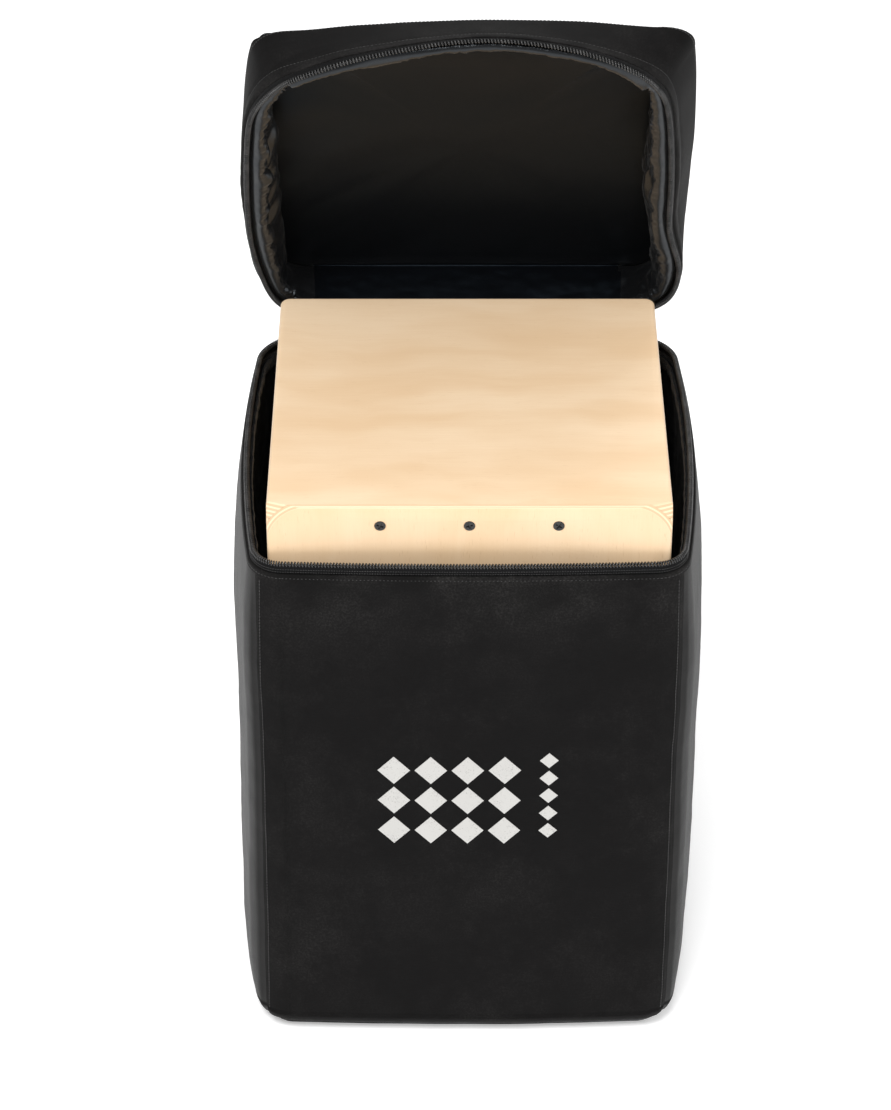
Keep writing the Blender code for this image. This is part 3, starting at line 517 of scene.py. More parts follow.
def bevel_edges(
    obj: bpy.types.Object, width: float, steps: int, test: Callable[[Vector, Vector], bool]
) -> None:
    """Round the edges that pass the test."""
    select_edges(obj, test)
    bpy.ops.mesh.bevel(offset=width, segments=steps, affect="EDGES")
    bpy.ops.object.mode_set(mode="OBJECT")


def soften(obj: bpy.types.Object, width: float, steps: int = 2, angle: float = 40.0) -> bpy.types.Object:
    """Round all sharp edges a little and shade the piece smooth between them."""
    bevel = obj.modifiers.new("soften", "BEVEL")
    bevel.width = width
    bevel.segments = steps
    bevel.limit_method = "ANGLE"
    bevel.angle_limit = math.radians(angle)
    apply_all(obj)
    return smooth(obj, angle)


def smooth(obj: bpy.types.Object, angle: float = 40.0) -> bpy.types.Object:
    """Shade smooth except across sharp edges."""
    active(obj)
    bpy.ops.object.shade_smooth_by_angle(angle=math.radians(angle))
    return obj


def repeat(model: bpy.types.Object, name: str, places: Iterable[Matrix]) -> bpy.types.Object:
    """Join many placed copies of one small model into one piece.

    Args:
        model: The shape that repeats, modelled at the origin. It is removed.
        name: The new piece's name.
        places: Where each copy goes.

    Returns:
        The joined piece.
    """
    mesh = model.data
    points = np.array([v.co for v in mesh.vertices])
    faces = [tuple(p.vertices) for p in mesh.polygons]
    all_points, all_faces = [], []
    for k, place in enumerate(places):
        turn = np.array(place.to_3x3())
        all_points.append(points @ turn.T + np.array(place.translation))
        all_faces += [tuple(i + k * len(points) for i in face) for face in faces]
    made = bpy.data.meshes.new(name)
    made.from_pydata(np.concatenate(all_points).tolist(), [], all_faces)
    made.polygons.foreach_set("use_smooth", np.ones(len(made.polygons), bool))
    obj = bpy.data.objects.new(name, made)
    bpy.context.scene.collection.objects.link(obj)
    bpy.data.objects.remove(model)
    return obj


def frame_at(place: Sequence[float], along: Sequence[float], out: Sequence[float]) -> Matrix:
    """A placing with X along a path and Z outwards from a surface."""
    x = Vector(along).normalized()
    z = Vector(out)
    z = (z - x * z.dot(x)).normalized()
    return Matrix.Translation(place) @ Matrix((x, z.cross(x), z)).transposed().to_4x4()


def stitch_row(
    name: str, path: np.ndarray, out: np.ndarray, pitch: float = 2.9 * MM, thick: float = 0.42 * MM
) -> bpy.types.Object:
    """A row of lockstitches along a path.

    Args:
        name: The piece's name.
        path: Points along the seam.
        out: The surface's outward direction at each point.
        pitch: Length of one stitch with its gap.
        thick: The thread's radius.

    Returns:
        The row as one piece.
    """
    deselect()
    bpy.ops.mesh.primitive_uv_sphere_add(segments=6, ring_count=4, radius=1.0, rotation=(0, math.pi / 2, 0))
    model = settle(bpy.context.object, "stitch")
    model.data.transform(Matrix.Diagonal((pitch * 0.43, thick, thick * 0.8, 1.0)))
    run = np.r_[0.0, np.cumsum(np.linalg.norm(np.diff(path, axis=0), axis=1))]
    marks = np.arange(pitch / 2, run[-1], pitch)

    def along(values: np.ndarray, at: np.ndarray) -> np.ndarray:
        """Values at distances along the path."""
        return np.stack([np.interp(at, run, values[:, i]) for i in range(3)], axis=1)

    middle, ahead, behind = along(path, marks), along(path, marks + pitch * 0.3), along(path, marks - pitch * 0.3)
    ways, outs = ahead - behind, along(out, marks)
    places = [frame_at(p, w, o) for p, w, o in zip(middle, ways, outs)]
    return repeat(model, name, places)


def wander(points: np.ndarray, size: float, seed: float, detail: int = 3) -> np.ndarray:
    """Smooth noise from about -1 to 1 at each point.

    Args:
        points: Places, one row each.
        size: The width of its largest features in metres.
        seed: Shifts the pattern.
        detail: How many finer layers are added.

    Returns:
        One value for each point.
    """
    flat = points.reshape(-1, 3) / size + seed
    values = [noise.fractal(Vector(p), 1.0, 2.0, detail) for p in flat]
    return np.array(values).reshape(points.shape[:-1])


def bell(distance: np.ndarray, width: float) -> np.ndarray:
    """A soft peak of height 1 that has faded out at a distance of about twice the width."""
    return np.exp(-((distance / width) ** 2))


def stretch(at: np.ndarray, start: float, end: float, ease: float) -> np.ndarray:
    """1 between start and end, 0 outside them, with a soft slope at each.

    Args:
        at: Places along the line.
        start: Where the stretch begins.
        end: Where it ends.
        ease: How long each slope is.

    Returns:
        The share at each place.
    """
    share = np.clip(np.minimum(at - start, end - at) / ease, 0.0, 1.0)
    return share * share * (3 - 2 * share)


# ------------------------------------------------------------------ the bag's shape


@dataclass
class BagPlan:
    """The bag seen from above. A place s runs from 0 to 8 round it: front edge, front right corner,
    right side, rear right corner, back edge, rear left corner, left side, front left corner."""

    half_width: float = 0.164
    front: float = -0.16575
    back: float = 0.16575
    near: float = 0.024  # radius of the front corners
    far: float = 0.042  # radius of the rear corners
    side_bulge: float = 0.012
    front_bulge: float = 0.004
    drum_half: float = 0.150
    floor_top: float = 0.007
    panel_top: float = 0.4535
    fold_y: float = 0.16725
    fold_height: float = 0.4635

    def bulged(self, x: np.ndarray, y: np.ndarray) -> np.ndarray:
        """Where the soft padding pushes a point of the plain outline out to."""
        along = (y / self.back - 0.12) / 1.03
        side = self.side_bulge * np.maximum(0.0, 1 - along * along) * x / self.half_width
        across = x / self.drum_half
        front = self.front_bulge * np.maximum(0.0, 1 - across * across) * np.maximum(0.0, y / self.front)
        return np.stack([x + side, y - front], axis=-1)

    def point(self, s: np.ndarray, inset: np.ndarray | float = 0.0) -> np.ndarray:
        """Points on the plan.

        Args:
            s: Places round the bag.
            inset: How far in from the outside, for all or for each.

        Returns:
            The x and y of each.
        """
        s, inset = np.broadcast_arrays(np.asarray(s, float) % 8.0, np.asarray(inset, float))
        part = np.minimum(np.floor(s).astype(int), 7)
        t = s - part
        wide, deep = np.cos(t * math.pi / 2), np.sin(t * math.pi / 2)
        reach_front, reach_back = self.half_width - self.near, self.half_width - self.far
        y_front, y_back = self.front + self.near, self.back - self.far
        near, far, side = self.near - inset, self.far - inset, self.half_width - inset
        run = y_back - y_front
        x = np.choose(part, [
            (2 * t - 1) * reach_front, reach_front + near * deep, side, reach_back + far * wide,
            (1 - 2 * t) * reach_back, -reach_back - far * deep, -side, -reach_front - near * wide,
        ])
        y = np.choose(part, [
            self.front + inset, y_front - near * wide, y_front + run * t, y_back + far * deep,
            self.back - inset, y_back + far * wide, y_back - run * t, y_front - near * deep,
        ])
        return self.bulged(x, y)

    def out(self, s: np.ndarray) -> np.ndarray:
        """The outward direction in plan at each place."""
        way = self.point(np.asarray(s) + 0.01) - self.point(np.asarray(s) - 0.01)
        normal = np.stack([way[..., 1], -way[..., 0]], axis=-1)
        return normal / np.linalg.norm(normal, axis=-1, keepdims=True)

    def places(self, spacing: float, start: float = 0.0, end: float = 8.0) -> np.ndarray:
        """Evenly spaced places from start to end. A full ring leaves out the end, which is its start."""
        fine = np.linspace(start, end, 3000)
        run = self.run_at(fine)
        count = max(8, round((run[-1] - run[0]) / spacing))
        whole = abs(end - start - 8.0) < 1e-9
        marks = np.linspace(run[0], run[-1], count, endpoint=not whole)
        return np.interp(marks, run, fine)

    def run_at(self, s: np.ndarray) -> np.ndarray:
        """Distance round the outside from place 0."""
        grid = np.linspace(-8.0, 16.0, 9001)
        points = self.point(grid)
        steps = np.linalg.norm(np.diff(points, axis=0), axis=1)
        total = np.r_[0.0, np.cumsum(steps)]
        total -= np.interp(0.0, grid, total)
        return np.interp(s, grid, total)

    def at_back(self, x: float) -> float:
        """The place on the back edge at this x."""
        return 4.0 + (1.0 - x / (self.half_width - self.far)) / 2.0


@dataclass
class BagWall:
    """Where points of the bag's upright wall are."""

    plan: BagPlan
    taper: float = -0.0025  # how far in the foot of the wall stands
    taper_height: float = 0.30
    shift: float = 0.0020  # the foot has slid this far to the left
    belly: float = 0.0085  # how far the slack side gussets swell out below the rim

    def at(self, s: np.ndarray, inset: np.ndarray | float, height: np.ndarray | float) -> np.ndarray:
        """The point at each place, inset and height."""
        s, inset, height = np.broadcast_arrays(*(np.asarray(v, float) for v in (s, inset, height)))
        low = np.clip(1 - height / self.taper_height, 0.0, 1.0) ** 2
        turn = s % 8.0
        side = bell(turn - 2.45, 0.85) + bell(turn - 6.55, 0.85)
        rise = np.clip(height / 0.09, 0, 1) * np.clip((self.plan.panel_top + 4 * MM - height) / 0.13, 0, 1)
        swell = self.belly * side * rise * (2 - rise)
        flat = self.plan.point(s, inset + self.taper * low - swell)
        return np.stack([flat[..., 0] - self.shift * low, flat[..., 1], height], axis=-1)


@dataclass
class LidWall:
    """Where points of the opened lid's wall are. Heights are those of the shut lid."""

    plan: BagPlan
    top: float = 0.5232  # the wall leans outwards or inwards below this
    edge: float = 0.471
    opened: float = math.radians(66)
    curl: float = 0.013  # how much shorter the lid's far end looks for its slack
    upper_curl: float = 0.030  # how much more its panel does, so that the far wall slopes
    slack: float = 0.026  # width over which the loose edge rounds the corners
    corner_drop: float = 0.007  # how much the lid's top falls away at its soft corners
    droop: float = 0.021  # how much its far end falls away for its slack
    front_bow: float = 30.0  # degrees by which the slack front edge bows out
    bow_middle: float = 0.55  # the place where it bows out most
    bow_reach: float = 0.40
    right_tuck: float = 15.0  # degrees by which the right side is drawn in
    left_tuck: float = 11.0  # degrees by which the front left corner is drawn in
    rear_tuck: float = 6.0  # degrees by which both rear corners are drawn in

    def lean(self, s: np.ndarray) -> np.ndarray:
        """How far the wall leans outwards at each place."""
        turn = np.asarray(s, float) % 8.0
        bow = sum(bell(turn - self.bow_middle - lap, self.bow_reach) for lap in (0.0, 8.0))
        right = stretch(turn, 0.8, 2.9, 0.25)
        left = sum(stretch(turn + lap, 6.85, 8.2, 0.2) for lap in (0.0, 8.0))
        rear = stretch(turn, 3.2, 4.05, 0.3) + stretch(turn, 4.95, 6.3, 0.3)
        tucks = self.right_tuck * right + self.left_tuck * left + self.rear_tuck * rear
        return np.radians(self.front_bow * bow - tucks)

    def at(self, s: np.ndarray, inset: np.ndarray | float, height: np.ndarray | float) -> np.ndarray:
        """The point at each place, inset and shut height, on the opened lid."""
        s, inset, height = np.broadcast_arrays(*(np.asarray(v, float) for v in (s, inset, height)))
        flat = self.plan.point(s, inset)
        swing = np.maximum(self.top - height, 0.0)
        share = np.clip(swing / (self.top - self.edge), 0.0, 1.0)[..., None]
        slack = self.averaged(s, lambda place: self.plan.point(place, inset), self.slack)
        way = self.averaged(
            s, lambda place: self.plan.out(place) * np.sin(self.lean(place))[..., None], self.slack / 2
        )
        flat = flat + (slack - flat) * share + way * swing[..., None]
        rise = 1 - np.sqrt(np.clip(1 - np.sum(way**2, axis=-1), 0.0, 1.0))
        return self.opened_point(flat, height + swing * rise)

    def drooped(self, s: np.ndarray) -> np.ndarray:
        """How much the slack far end falls away at each place."""
        turn = s % 8.0
        return bell(np.minimum(np.abs(turn - 0.5), np.abs(turn - 8.5)), 0.75) * self.droop

    def averaged(self, s: np.ndarray, values: Callable[[np.ndarray], np.ndarray], width: float) -> np.ndarray:
        """Values round the lid, smoothed along its edge.

        Args:
            s: Places round the lid.
            values: Gives vectors for places.
            width: How far along the edge the smoothing reaches.

        Returns:
            The smoothed vector at each place.
        """
        grid = np.linspace(-8.0, 16.0, 9001)
        runs = self.plan.run_at(grid)
        run = np.interp(s, grid, runs)
        steps = np.linspace(-2.0, 2.0, 9)
        weights = np.exp(-(steps**2) / 2)
        found = [values(np.interp(run + k * width, runs, grid)) for k in steps]
        return sum(w * value for w, value in zip(weights / weights.sum(), found))

    def opened_point(self, flat: np.ndarray, height: np.ndarray) -> np.ndarray:
        """Turn points of the shut lid on its fold."""
        away, above = self.plan.fold_y - flat[..., 1], height - self.plan.fold_height
        upper = np.clip((height - self.edge) / (self.top - self.edge), 0.0, 1.0)
        away = away * (1 - (self.curl + self.upper_curl * upper) * np.clip(away / 0.33, 0.0, 1.2) ** 2)
        cos, sin = math.cos(self.opened), math.sin(self.opened)
        y = self.plan.fold_y - away * cos + above * sin
        z = self.plan.fold_height + away * sin + above * cos
        return np.stack([flat[..., 0], y, z], axis=-1)


Wall = BagWall | LidWall


@dataclass
class Loft:
    """A skin through rows of points, with its cloth's own flat coordinates."""

    name: str
    points: np.ndarray  # rows, columns, 3
    flat: np.ndarray  # rows, columns, 2
    ring_columns: bool = True  # the last column joins the first
    ring_rows: bool = False  # the last row joins the first
    poles: bool = False  # the first and last rows are closed with a fan
    worn: np.ndarray | None = None

    def build(self) -> bpy.types.Object:
        """Make the object."""
        rows, columns = self.points.shape[:2]
        row_steps = rows if self.ring_rows else rows - 1
        column_steps = columns if self.ring_columns else columns - 1
        r, c = np.meshgrid(np.arange(row_steps), np.arange(column_steps), indexing="ij")
        r2, c2 = (r + 1) % rows, (c + 1) % columns
        quads = np.stack([r * columns + c, r * columns + c2, r2 * columns + c2, r2 * columns + c], axis=-1)
        faces = [tuple(q) for q in quads.reshape(-1, 4).tolist()]
        points = self.points.reshape(-1, 3)
        flat = self.flat.reshape(-1, 2)
        if self.poles:
            for row, side in ((0, 0), (rows - 1, 1)):
                centre = len(points)
                points = np.r_[points, self.points[row].mean(axis=0)[None]]
                flat = np.r_[flat, self.flat[row].mean(axis=0)[None]]
                for k in range(columns):
                    a, b = row * columns + k, row * columns + (k + 1) % columns
                    faces.append((centre, b, a) if side == 0 else (centre, a, b))
        elif self.ring_rows and not self.ring_columns:
            faces.append(tuple((np.arange(rows) * columns)[::-1].tolist()))
            faces.append(tuple((np.arange(rows) * columns + columns - 1).tolist()))
        mesh = bpy.data.meshes.new(self.name)
        mesh.from_pydata(points.tolist(), [], faces)
        mesh.polygons.foreach_set("use_smooth", np.ones(len(mesh.polygons), bool))
        corners = np.empty(len(mesh.loops), np.int32)
        mesh.loops.foreach_get("vertex_index", corners)
        layer = mesh.uv_layers.new(name="cloth")
        layer.data.foreach_set("uv", flat[corners].astype(np.float32).ravel())
        if self.worn is not None:
            values = np.r_[self.worn.ravel(), np.zeros(len(points) - self.worn.size)]
            mark = mesh.attributes.new("worn", "FLOAT", "POINT")
            mark.data.foreach_set("value", np.clip(values, 0, 1).astype(np.float32))
        shape = bmesh.new()
        shape.from_mesh(mesh)
        bmesh.ops.recalc_face_normals(shape, faces=shape.faces)
        shape.to_mesh(mesh)
        shape.free()
        obj = bpy.data.objects.new(self.name, mesh)
        bpy.context.scene.collection.objects.link(obj)
        return obj


def rounded(points: Sequence[tuple[float, float]], spacing: float, passes: int = 2) -> np.ndarray:
    """A section's line, evenly filled in and with its corners eased."""
    line = np.array(points, float)
    run = np.r_[0.0, np.cumsum(np.linalg.norm(np.diff(line, axis=0), axis=1))]
    count = max(3, round(run[-1] / spacing) + 1)
    marks = np.linspace(0.0, run[-1], count)
    fine = np.stack([np.interp(marks, run, line[:, i]) for i in (0, 1)], axis=1)
    for _ in range(passes):
        fine[1:-1] = (fine[:-2] + 2 * fine[1:-1] + fine[2:]) / 4
    return fine


def oval(inset: float, height: float, thick: float, tall: float, steps: int = 10) -> np.ndarray:
    """A closed oval section about an inset and height."""
    turn = np.linspace(0.0, 2 * math.pi, steps, endpoint=False)
    return np.stack([inset + thick / 2 * np.cos(turn), height + tall / 2 * np.sin(turn)], axis=1)


def band(
    name: str,
    wall: Wall,
    section: np.ndarray,
    places: np.ndarray,
    whole: bool,
    shape: Callable[[np.ndarray, np.ndarray, np.ndarray], tuple[np.ndarray, np.ndarray]] | None = None,
    worn: Callable[[np.ndarray, np.ndarray], np.ndarray] | None = None,
) -> bpy.types.Object:
    """A closed section carried round the wall.

    Args:
        name: The piece's name.
        wall: What it follows.
        section: Its outline as insets and heights.
        places: Where it runs.
        whole: It goes all the way round.
        shape: Moves insets and heights, from the places, insets and heights.
        worn: How rubbed the cloth is, from the places and heights.

    Returns:
        The new piece.
    """
    s = np.broadcast_to(places[None, :], (len(section), len(places)))
    inset = np.broadcast_to(section[:, 0:1], s.shape).copy()
    height = np.broadcast_to(section[:, 1:2], s.shape).copy()
    rub = None if worn is None else worn(s, height)
    if shape is not None:
        inset, height = shape(s, inset, height)
    run = np.r_[0.0, np.cumsum(np.linalg.norm(np.diff(section, axis=0), axis=1))]
    flat = np.stack(np.broadcast_arrays(wall.plan.run_at(places)[None, :], run[:, None]), axis=-1)
    return Loft(name, wall.at(s, inset, height), flat, whole, True, False, rub).build()


def coil(name: str, wall: Wall, inset: float, height: float, places: tuple[float, float]) -> bpy.types.Object:
    """A zip's half: a coil of nylon along the wall's edge.

    Args:
        name: The piece's name.
        wall: What it follows.
        inset: The coil's centre line, in from the outside.
        height: The centre line's height.
        places: Where it starts and ends.

    Returns:
        The coil as one piece.
    """
    pitch, steps, sides, wire = 2.4 * MM, 10, 5, 0.70 * MM
    half_thick, half_tall = 1.5 * MM, 1.75 * MM
    ends = wall.plan.run_at(np.array(places))
    turns = int((ends[1] - ends[0]) / pitch)
    phase = np.arange(turns * steps + 1) / steps
    grid = np.linspace(*places, 2500)
    s = np.interp(ends[0] + phase * pitch, wall.plan.run_at(grid), grid)
    turn = phase * 2 * math.pi
    centre = wall.at(s, inset - half_thick * np.sin(turn), height + half_tall * np.cos(turn))
    way = np.gradient(centre, axis=0)
    way /= np.linalg.norm(way, axis=1, keepdims=True)
    core = wall.at(s, inset, height)
    first = centre - core
    first -= way * np.sum(first * way, axis=1, keepdims=True)
    first /= np.linalg.norm(first, axis=1, keepdims=True)
    second = np.cross(way, first)
    ring = np.linspace(0, 2 * math.pi, sides, endpoint=False)
    points = np.stack([centre + wire * (first * math.cos(a) + second * math.sin(a)) for a in ring], axis=0)
    flat = np.zeros((*points.shape[:2], 2))
    return Loft(name, points, flat, False, True).build()


@dataclass
class Finishes:
    """Every finish that the drum and its bag use."""

    groups: Groups = field(default_factory=Groups)

    def __post_init__(self) -> None:
        """Build the materials."""
        cloth = Fabric(
            "black_nylon", (0.0052, 0.0049, 0.0049), (0.062, 0.059, 0.057),
            5200.0, 0.72, 0.012, 0.62, 0.00009, 0.06
        )
        self.nylon = cloth.build(self.groups)
        # The side gussets' nylon is a lighter, glossier copy of the front's: painted light, not a different
        # cloth.
        side = Fabric(
            "black_nylon_lit_side", (0.0085, 0.0082, 0.0082), (0.062, 0.059, 0.057),
            5200.0, 0.62, 0.07, 0.38, 0.00008, 0.11
        )
        self.lit_side_nylon = side.build(self.groups)
        # The satins' blue in base colour and shine is painted: it cancels the brown light the wood reflects into
        # them.
        satin = Fabric(
            "lining_satin", (0.0024, 0.0028, 0.0036), (0.02, 0.02, 0.02),
            7000.0, 0.42, 0.03, 0.12, 0.00003, 0.14, (0.58, 0.78, 1.0)
        )
        self.satin = satin.build(self.groups)
        roll = Fabric(
            "binding_satin", (0.0055, 0.0057, 0.0062), (0.05, 0.05, 0.05),
            6000.0, 0.32, 0.05, 0.25, 0.00003, 0.42, (0.86, 0.93, 1.0)
        )
        self.binding = roll.build(self.groups)
        tape = Fabric(
            "zip_tape", (0.0055, 0.0055, 0.0058), (0.05, 0.049, 0.048), 8000.0, 0.7, 0.03, 0.3, 0.0001, 0.06
        )
        self.tape = tape.build(self.groups)
        strap = Fabric(
            "black_webbing", (0.017, 0.017, 0.0175), (0.06, 0.059, 0.058), 2600.0, 0.6, 0.2, 0.3, 0.0003
        )
        self.webbing = strap.build(self.groups)
        thread = Hard(
            "black_thread", (0.012, 0.0115, 0.0115), (0.035, 0.034, 0.033), 0.0, 0.42, 60.0, 0.00002
        )
        self.thread = thread.build(self.groups)
        coil = Hard("zip_nylon", (0.016, 0.016, 0.0165), (0.05, 0.049, 0.048), 0.0, 0.17, 90.0, 0.00001)
        self.coil = coil.build(self.groups)
        buckle = Hard("buckle_plastic", (0.018, 0.018, 0.019), (0.05, 0.05, 0.049), 0.0, 0.4, 90.0, 0.00002)
        self.buckle = buckle.build(self.groups)
        metal = Hard("slider_metal", (0.10, 0.10, 0.105), (0.32, 0.31, 0.30), 0.9, 0.36, 120.0, 0.00001)
        self.metal = metal.build(self.groups)
        screw = Hard("black_screw", (0.004, 0.004, 0.0045), (0.02, 0.0195, 0.019), 0.0, 0.22, 300.0, 0.00001)
        self.screw = screw.build(self.groups)
        rubber = Hard("foot_rubber", (0.014, 0.014, 0.014), (0.045, 0.044, 0.042), 0.0, 0.75, 80.0, 0.00003)
        self.rubber = rubber.build(self.groups)
        steel = Hard("snare_steel", (0.62, 0.61, 0.60), (0.40, 0.39, 0.37), 1.0, 0.25, 200.0, 0.000005)
        self.steel = steel.build(self.groups)
        self.print = Ink("print_ink", (0.55, 0.54, 0.52), (0.06, 0.058, 0.056)).build(self.groups)
        batten = Birch(
            "batten_wood", Grain.UPRIGHT, 2, 9.0, -1.0, 1.0, (0.74, 0.55, 0.36), (0.66, 0.46, 0.28), 0.4
        )
        self.batten = batten.build(self.groups)


# ------------------------------------------------------------------ the bag


def near_corners(s: np.ndarray, width: float = 0.5) -> np.ndarray:
    """1 in the middle of each corner, fading along the straight parts."""
    return sum(bell((s % 8.0) - corner, width) for corner in (1.5, 3.5, 5.5, 7.5))


@dataclass
class Bag:
    """The standing bag: padded shell, lining, bound rim, its half of the zip and stitching."""

    finishes: Finishes
    plan: BagPlan
    wall: BagWall
    wall_thick: float = 0.005
    lining_thick: float = 0.0006
    gap: float = 0.0003
    column: float = 3.2 * MM
    front_seams: tuple[float, float] = (1.6, 7.4)
    rear_seams: tuple[float, float] = (3.4, 5.6)

    def shell_relief(self, s: np.ndarray, height: np.ndarray) -> np.ndarray:
        """How far the padded cloth stands in from its plain shape, at each place and height."""
        around = self.plan.point(s)
        place = np.stack([around[..., 0], around[..., 1], height * 0.42], axis=-1)
        broad = wander(place, 0.095, 3.1, 2)
        small = wander(place * np.array([1.0, 1.0, 1.6]), 0.028, 8.7)
        on_front = np.clip(bell(np.minimum(np.abs(s % 8.0 - 0.5), np.abs(s % 8.0 - 8.5)) - 0.0, 0.75), 0, 1)
        soft = 1.0 - 0.72 * on_front
        relief = broad * 2.3 * MM * soft + small * 0.7 * MM * soft
        run, total = self.plan.run_at(s), self.plan.run_at(np.array([8.0]))[0]
        for seam in (*self.front_seams, *self.rear_seams):
            apart = (run - self.plan.run_at(np.array([seam]))[0] + total / 2) % total - total / 2
            relief = relief + bell(apart, 1.5 * MM) * 1.9 * MM - bell(np.abs(apart) - 5 * MM, 3.5 * MM) * 0.5 * MM
        hem = bell(height - (self.plan.panel_top - 3.2 * MM), 1.6 * MM) * 0.5 * MM
        fade = np.clip((self.plan.panel_top - height) / 0.06, 0.15, 1.0)
        return relief * fade + hem

    def build_shell(self) -> None:
        """The padded shell, closed from the ground up over the rim and down inside."""
        places = self.plan.places(self.column)
        top, thick = self.plan.panel_top, self.wall_thick
        outer = rounded([(0.0, 0.020), (0.0, top - 2 * MM)], 3.2 * MM, 0)
        turn = np.linspace(0, math.pi / 2, 8)[1:]
        foot = [(0.014 * (1 - math.sin(a)), 0.0055 + 0.0145 * (1 - math.cos(a))) for a in turn]
        edge = [(0.4 * MM, top - 0.5 * MM), (1.4 * MM, top), (thick - 1.2 * MM, top), (thick, top - 1.2 * MM)]
        inner = [(thick, z) for z in np.linspace(top - 4 * MM, 0.012, 12)]
        upright = np.array([(0.014, 0.0008), (0.012, 0.0010), *foot[1:], *outer.tolist(), *edge, *inner])
        upright[:, 1] = np.where(upright[:, 1] < 0.0055, np.maximum(upright[:, 1], 0.0006), upright[:, 1])
        s = np.broadcast_to(places[None, :], (len(upright), len(places)))
        inset = np.broadcast_to(upright[:, 0:1], s.shape).copy()
        height = np.broadcast_to(upright[:, 1:2], s.shape).copy()
        outside = (np.arange(len(upright)) < len(foot) + 1 + len(outer))[:, None]
        relief = self.shell_relief(s, height)
        inset = inset + np.where(outside, relief, 0.0)
        points = self.wall.at(s, inset, height)
        run = np.r_[0.0, np.cumsum(np.linalg.norm(np.diff(upright, axis=0), axis=1))]
        flat = np.stack(np.broadcast_arrays(self.plan.run_at(places)[None, :], run[:, None]), axis=-1)
        under = [points[0] * np.array([k, k, 1.0]) + np.array([0, 0, -0.0003]) for k in (0.15, 0.5, 0.85)]
        floor = points[-1].copy()
        floor[:, 2] = self.plan.floor_top
        within = [floor * np.array([k, k, 1.0]) for k in (0.97, 0.5, 0.1)]
        rows = np.array([*under, *points, *within])
        flats = np.array([*(u[:, :2] for u in under), *flat, *(w[:, :2] for w in within)])
        rub = np.zeros(rows.shape[:2])
        first = len(under)
        rub[first:first + len(upright)] = self.rubbed(s, height)
        shell = Loft("bag_shell", rows, flats, True, False, True, rub).build()
        dress(shell, self.finishes.nylon)
        shell.data.materials.append(self.finishes.lit_side_nylon)
        self.paint_lit_sides(shell)
        panels = [f"bag_{side}_panel" for side in ("front", "right", "back", "left", "base")]
        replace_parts(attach(shell, "bag"), *panels)
        LOG.info("bag shell: %d faces", len(shell.data.polygons))

    # Painted light: the side gussets take the lighter copy of the nylon.
    def paint_lit_sides(self, shell: bpy.types.Object) -> None:
        """Give the side gussets a lighter, glossier copy of the nylon between their seams: painted light for
        their brighter look.
        """
        run = self.plan.run_at(np.array([*self.front_seams, 8.0, *self.rear_seams]))
        layer = shell.data.uv_layers[0].data
        for polygon in shell.data.polygons:
            along = layer[polygon.loop_start].uv[0]
            if run[0] < along < run[3] or run[4] < along < run[1]:
                polygon.material_index = 1 if 0.004 < polygon.center.z < self.plan.panel_top - 0.004 else 0

    def rubbed(self, s: np.ndarray, height: np.ndarray) -> np.ndarray:
        """Where the cloth is paler: below the rim, along seams and at the foot."""
        around = self.plan.point(s)
        place = np.stack([around[..., 0], around[..., 1], height], axis=-1)
        patchy = np.clip(0.6 + wander(place, 0.03, 5.5), 0.1, 1.3)
        hem = bell(height - self.plan.panel_top, 9 * MM) * 0.4
        under = bell(height - (self.plan.panel_top - 0.03), 0.03) * 0.30
        foot = bell(height - 8 * MM, 8 * MM) * 0.35
        seam = sum(bell(s % 8.0 - at, 0.10) for at in (*self.front_seams, *self.rear_seams)) * 0.25
        return (hem + under + foot + seam) * patchy

    def build_stitches(self) -> None:
        """Stitching below the rim and beside the front and rear seams."""
        places = self.plan.places(1.5 * MM)
        top = self.plan.panel_top - 3.2 * MM
        lines = {"rim": (places, np.full(len(places), top))}
        for name, (s, z) in lines.items():
            self.stitch(f"stitches_{name}", np.r_[s, s[0] + 8.0], np.r_[z, z[0]])
        z = np.linspace(0.022, top - 4 * MM, 300)
        shift = 0.09
        rows = {
            "front_right": self.front_seams[0] - shift * 1.6, "front_left": self.front_seams[1] + shift * 1.6,
            "rear_right": self.rear_seams[0] + shift, "rear_left": self.rear_seams[1] - shift,
        }
        for name, at in rows.items():
            self.stitch(f"stitches_{name}", np.full(len(z), at), z)

    def stitch(self, name: str, s: np.ndarray, z: np.ndarray) -> None:
        """One row of stitches on the shell's outside."""
        relief = self.shell_relief(s, z)
        path = self.wall.at(s, relief - 0.05 * MM, z)
        out = np.c_[self.plan.out(s), np.zeros(len(s))]
        row = dress(stitch_row(name, path, out), self.finishes.thread)
        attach(row, "bag")
        LOG.info("%s", name)

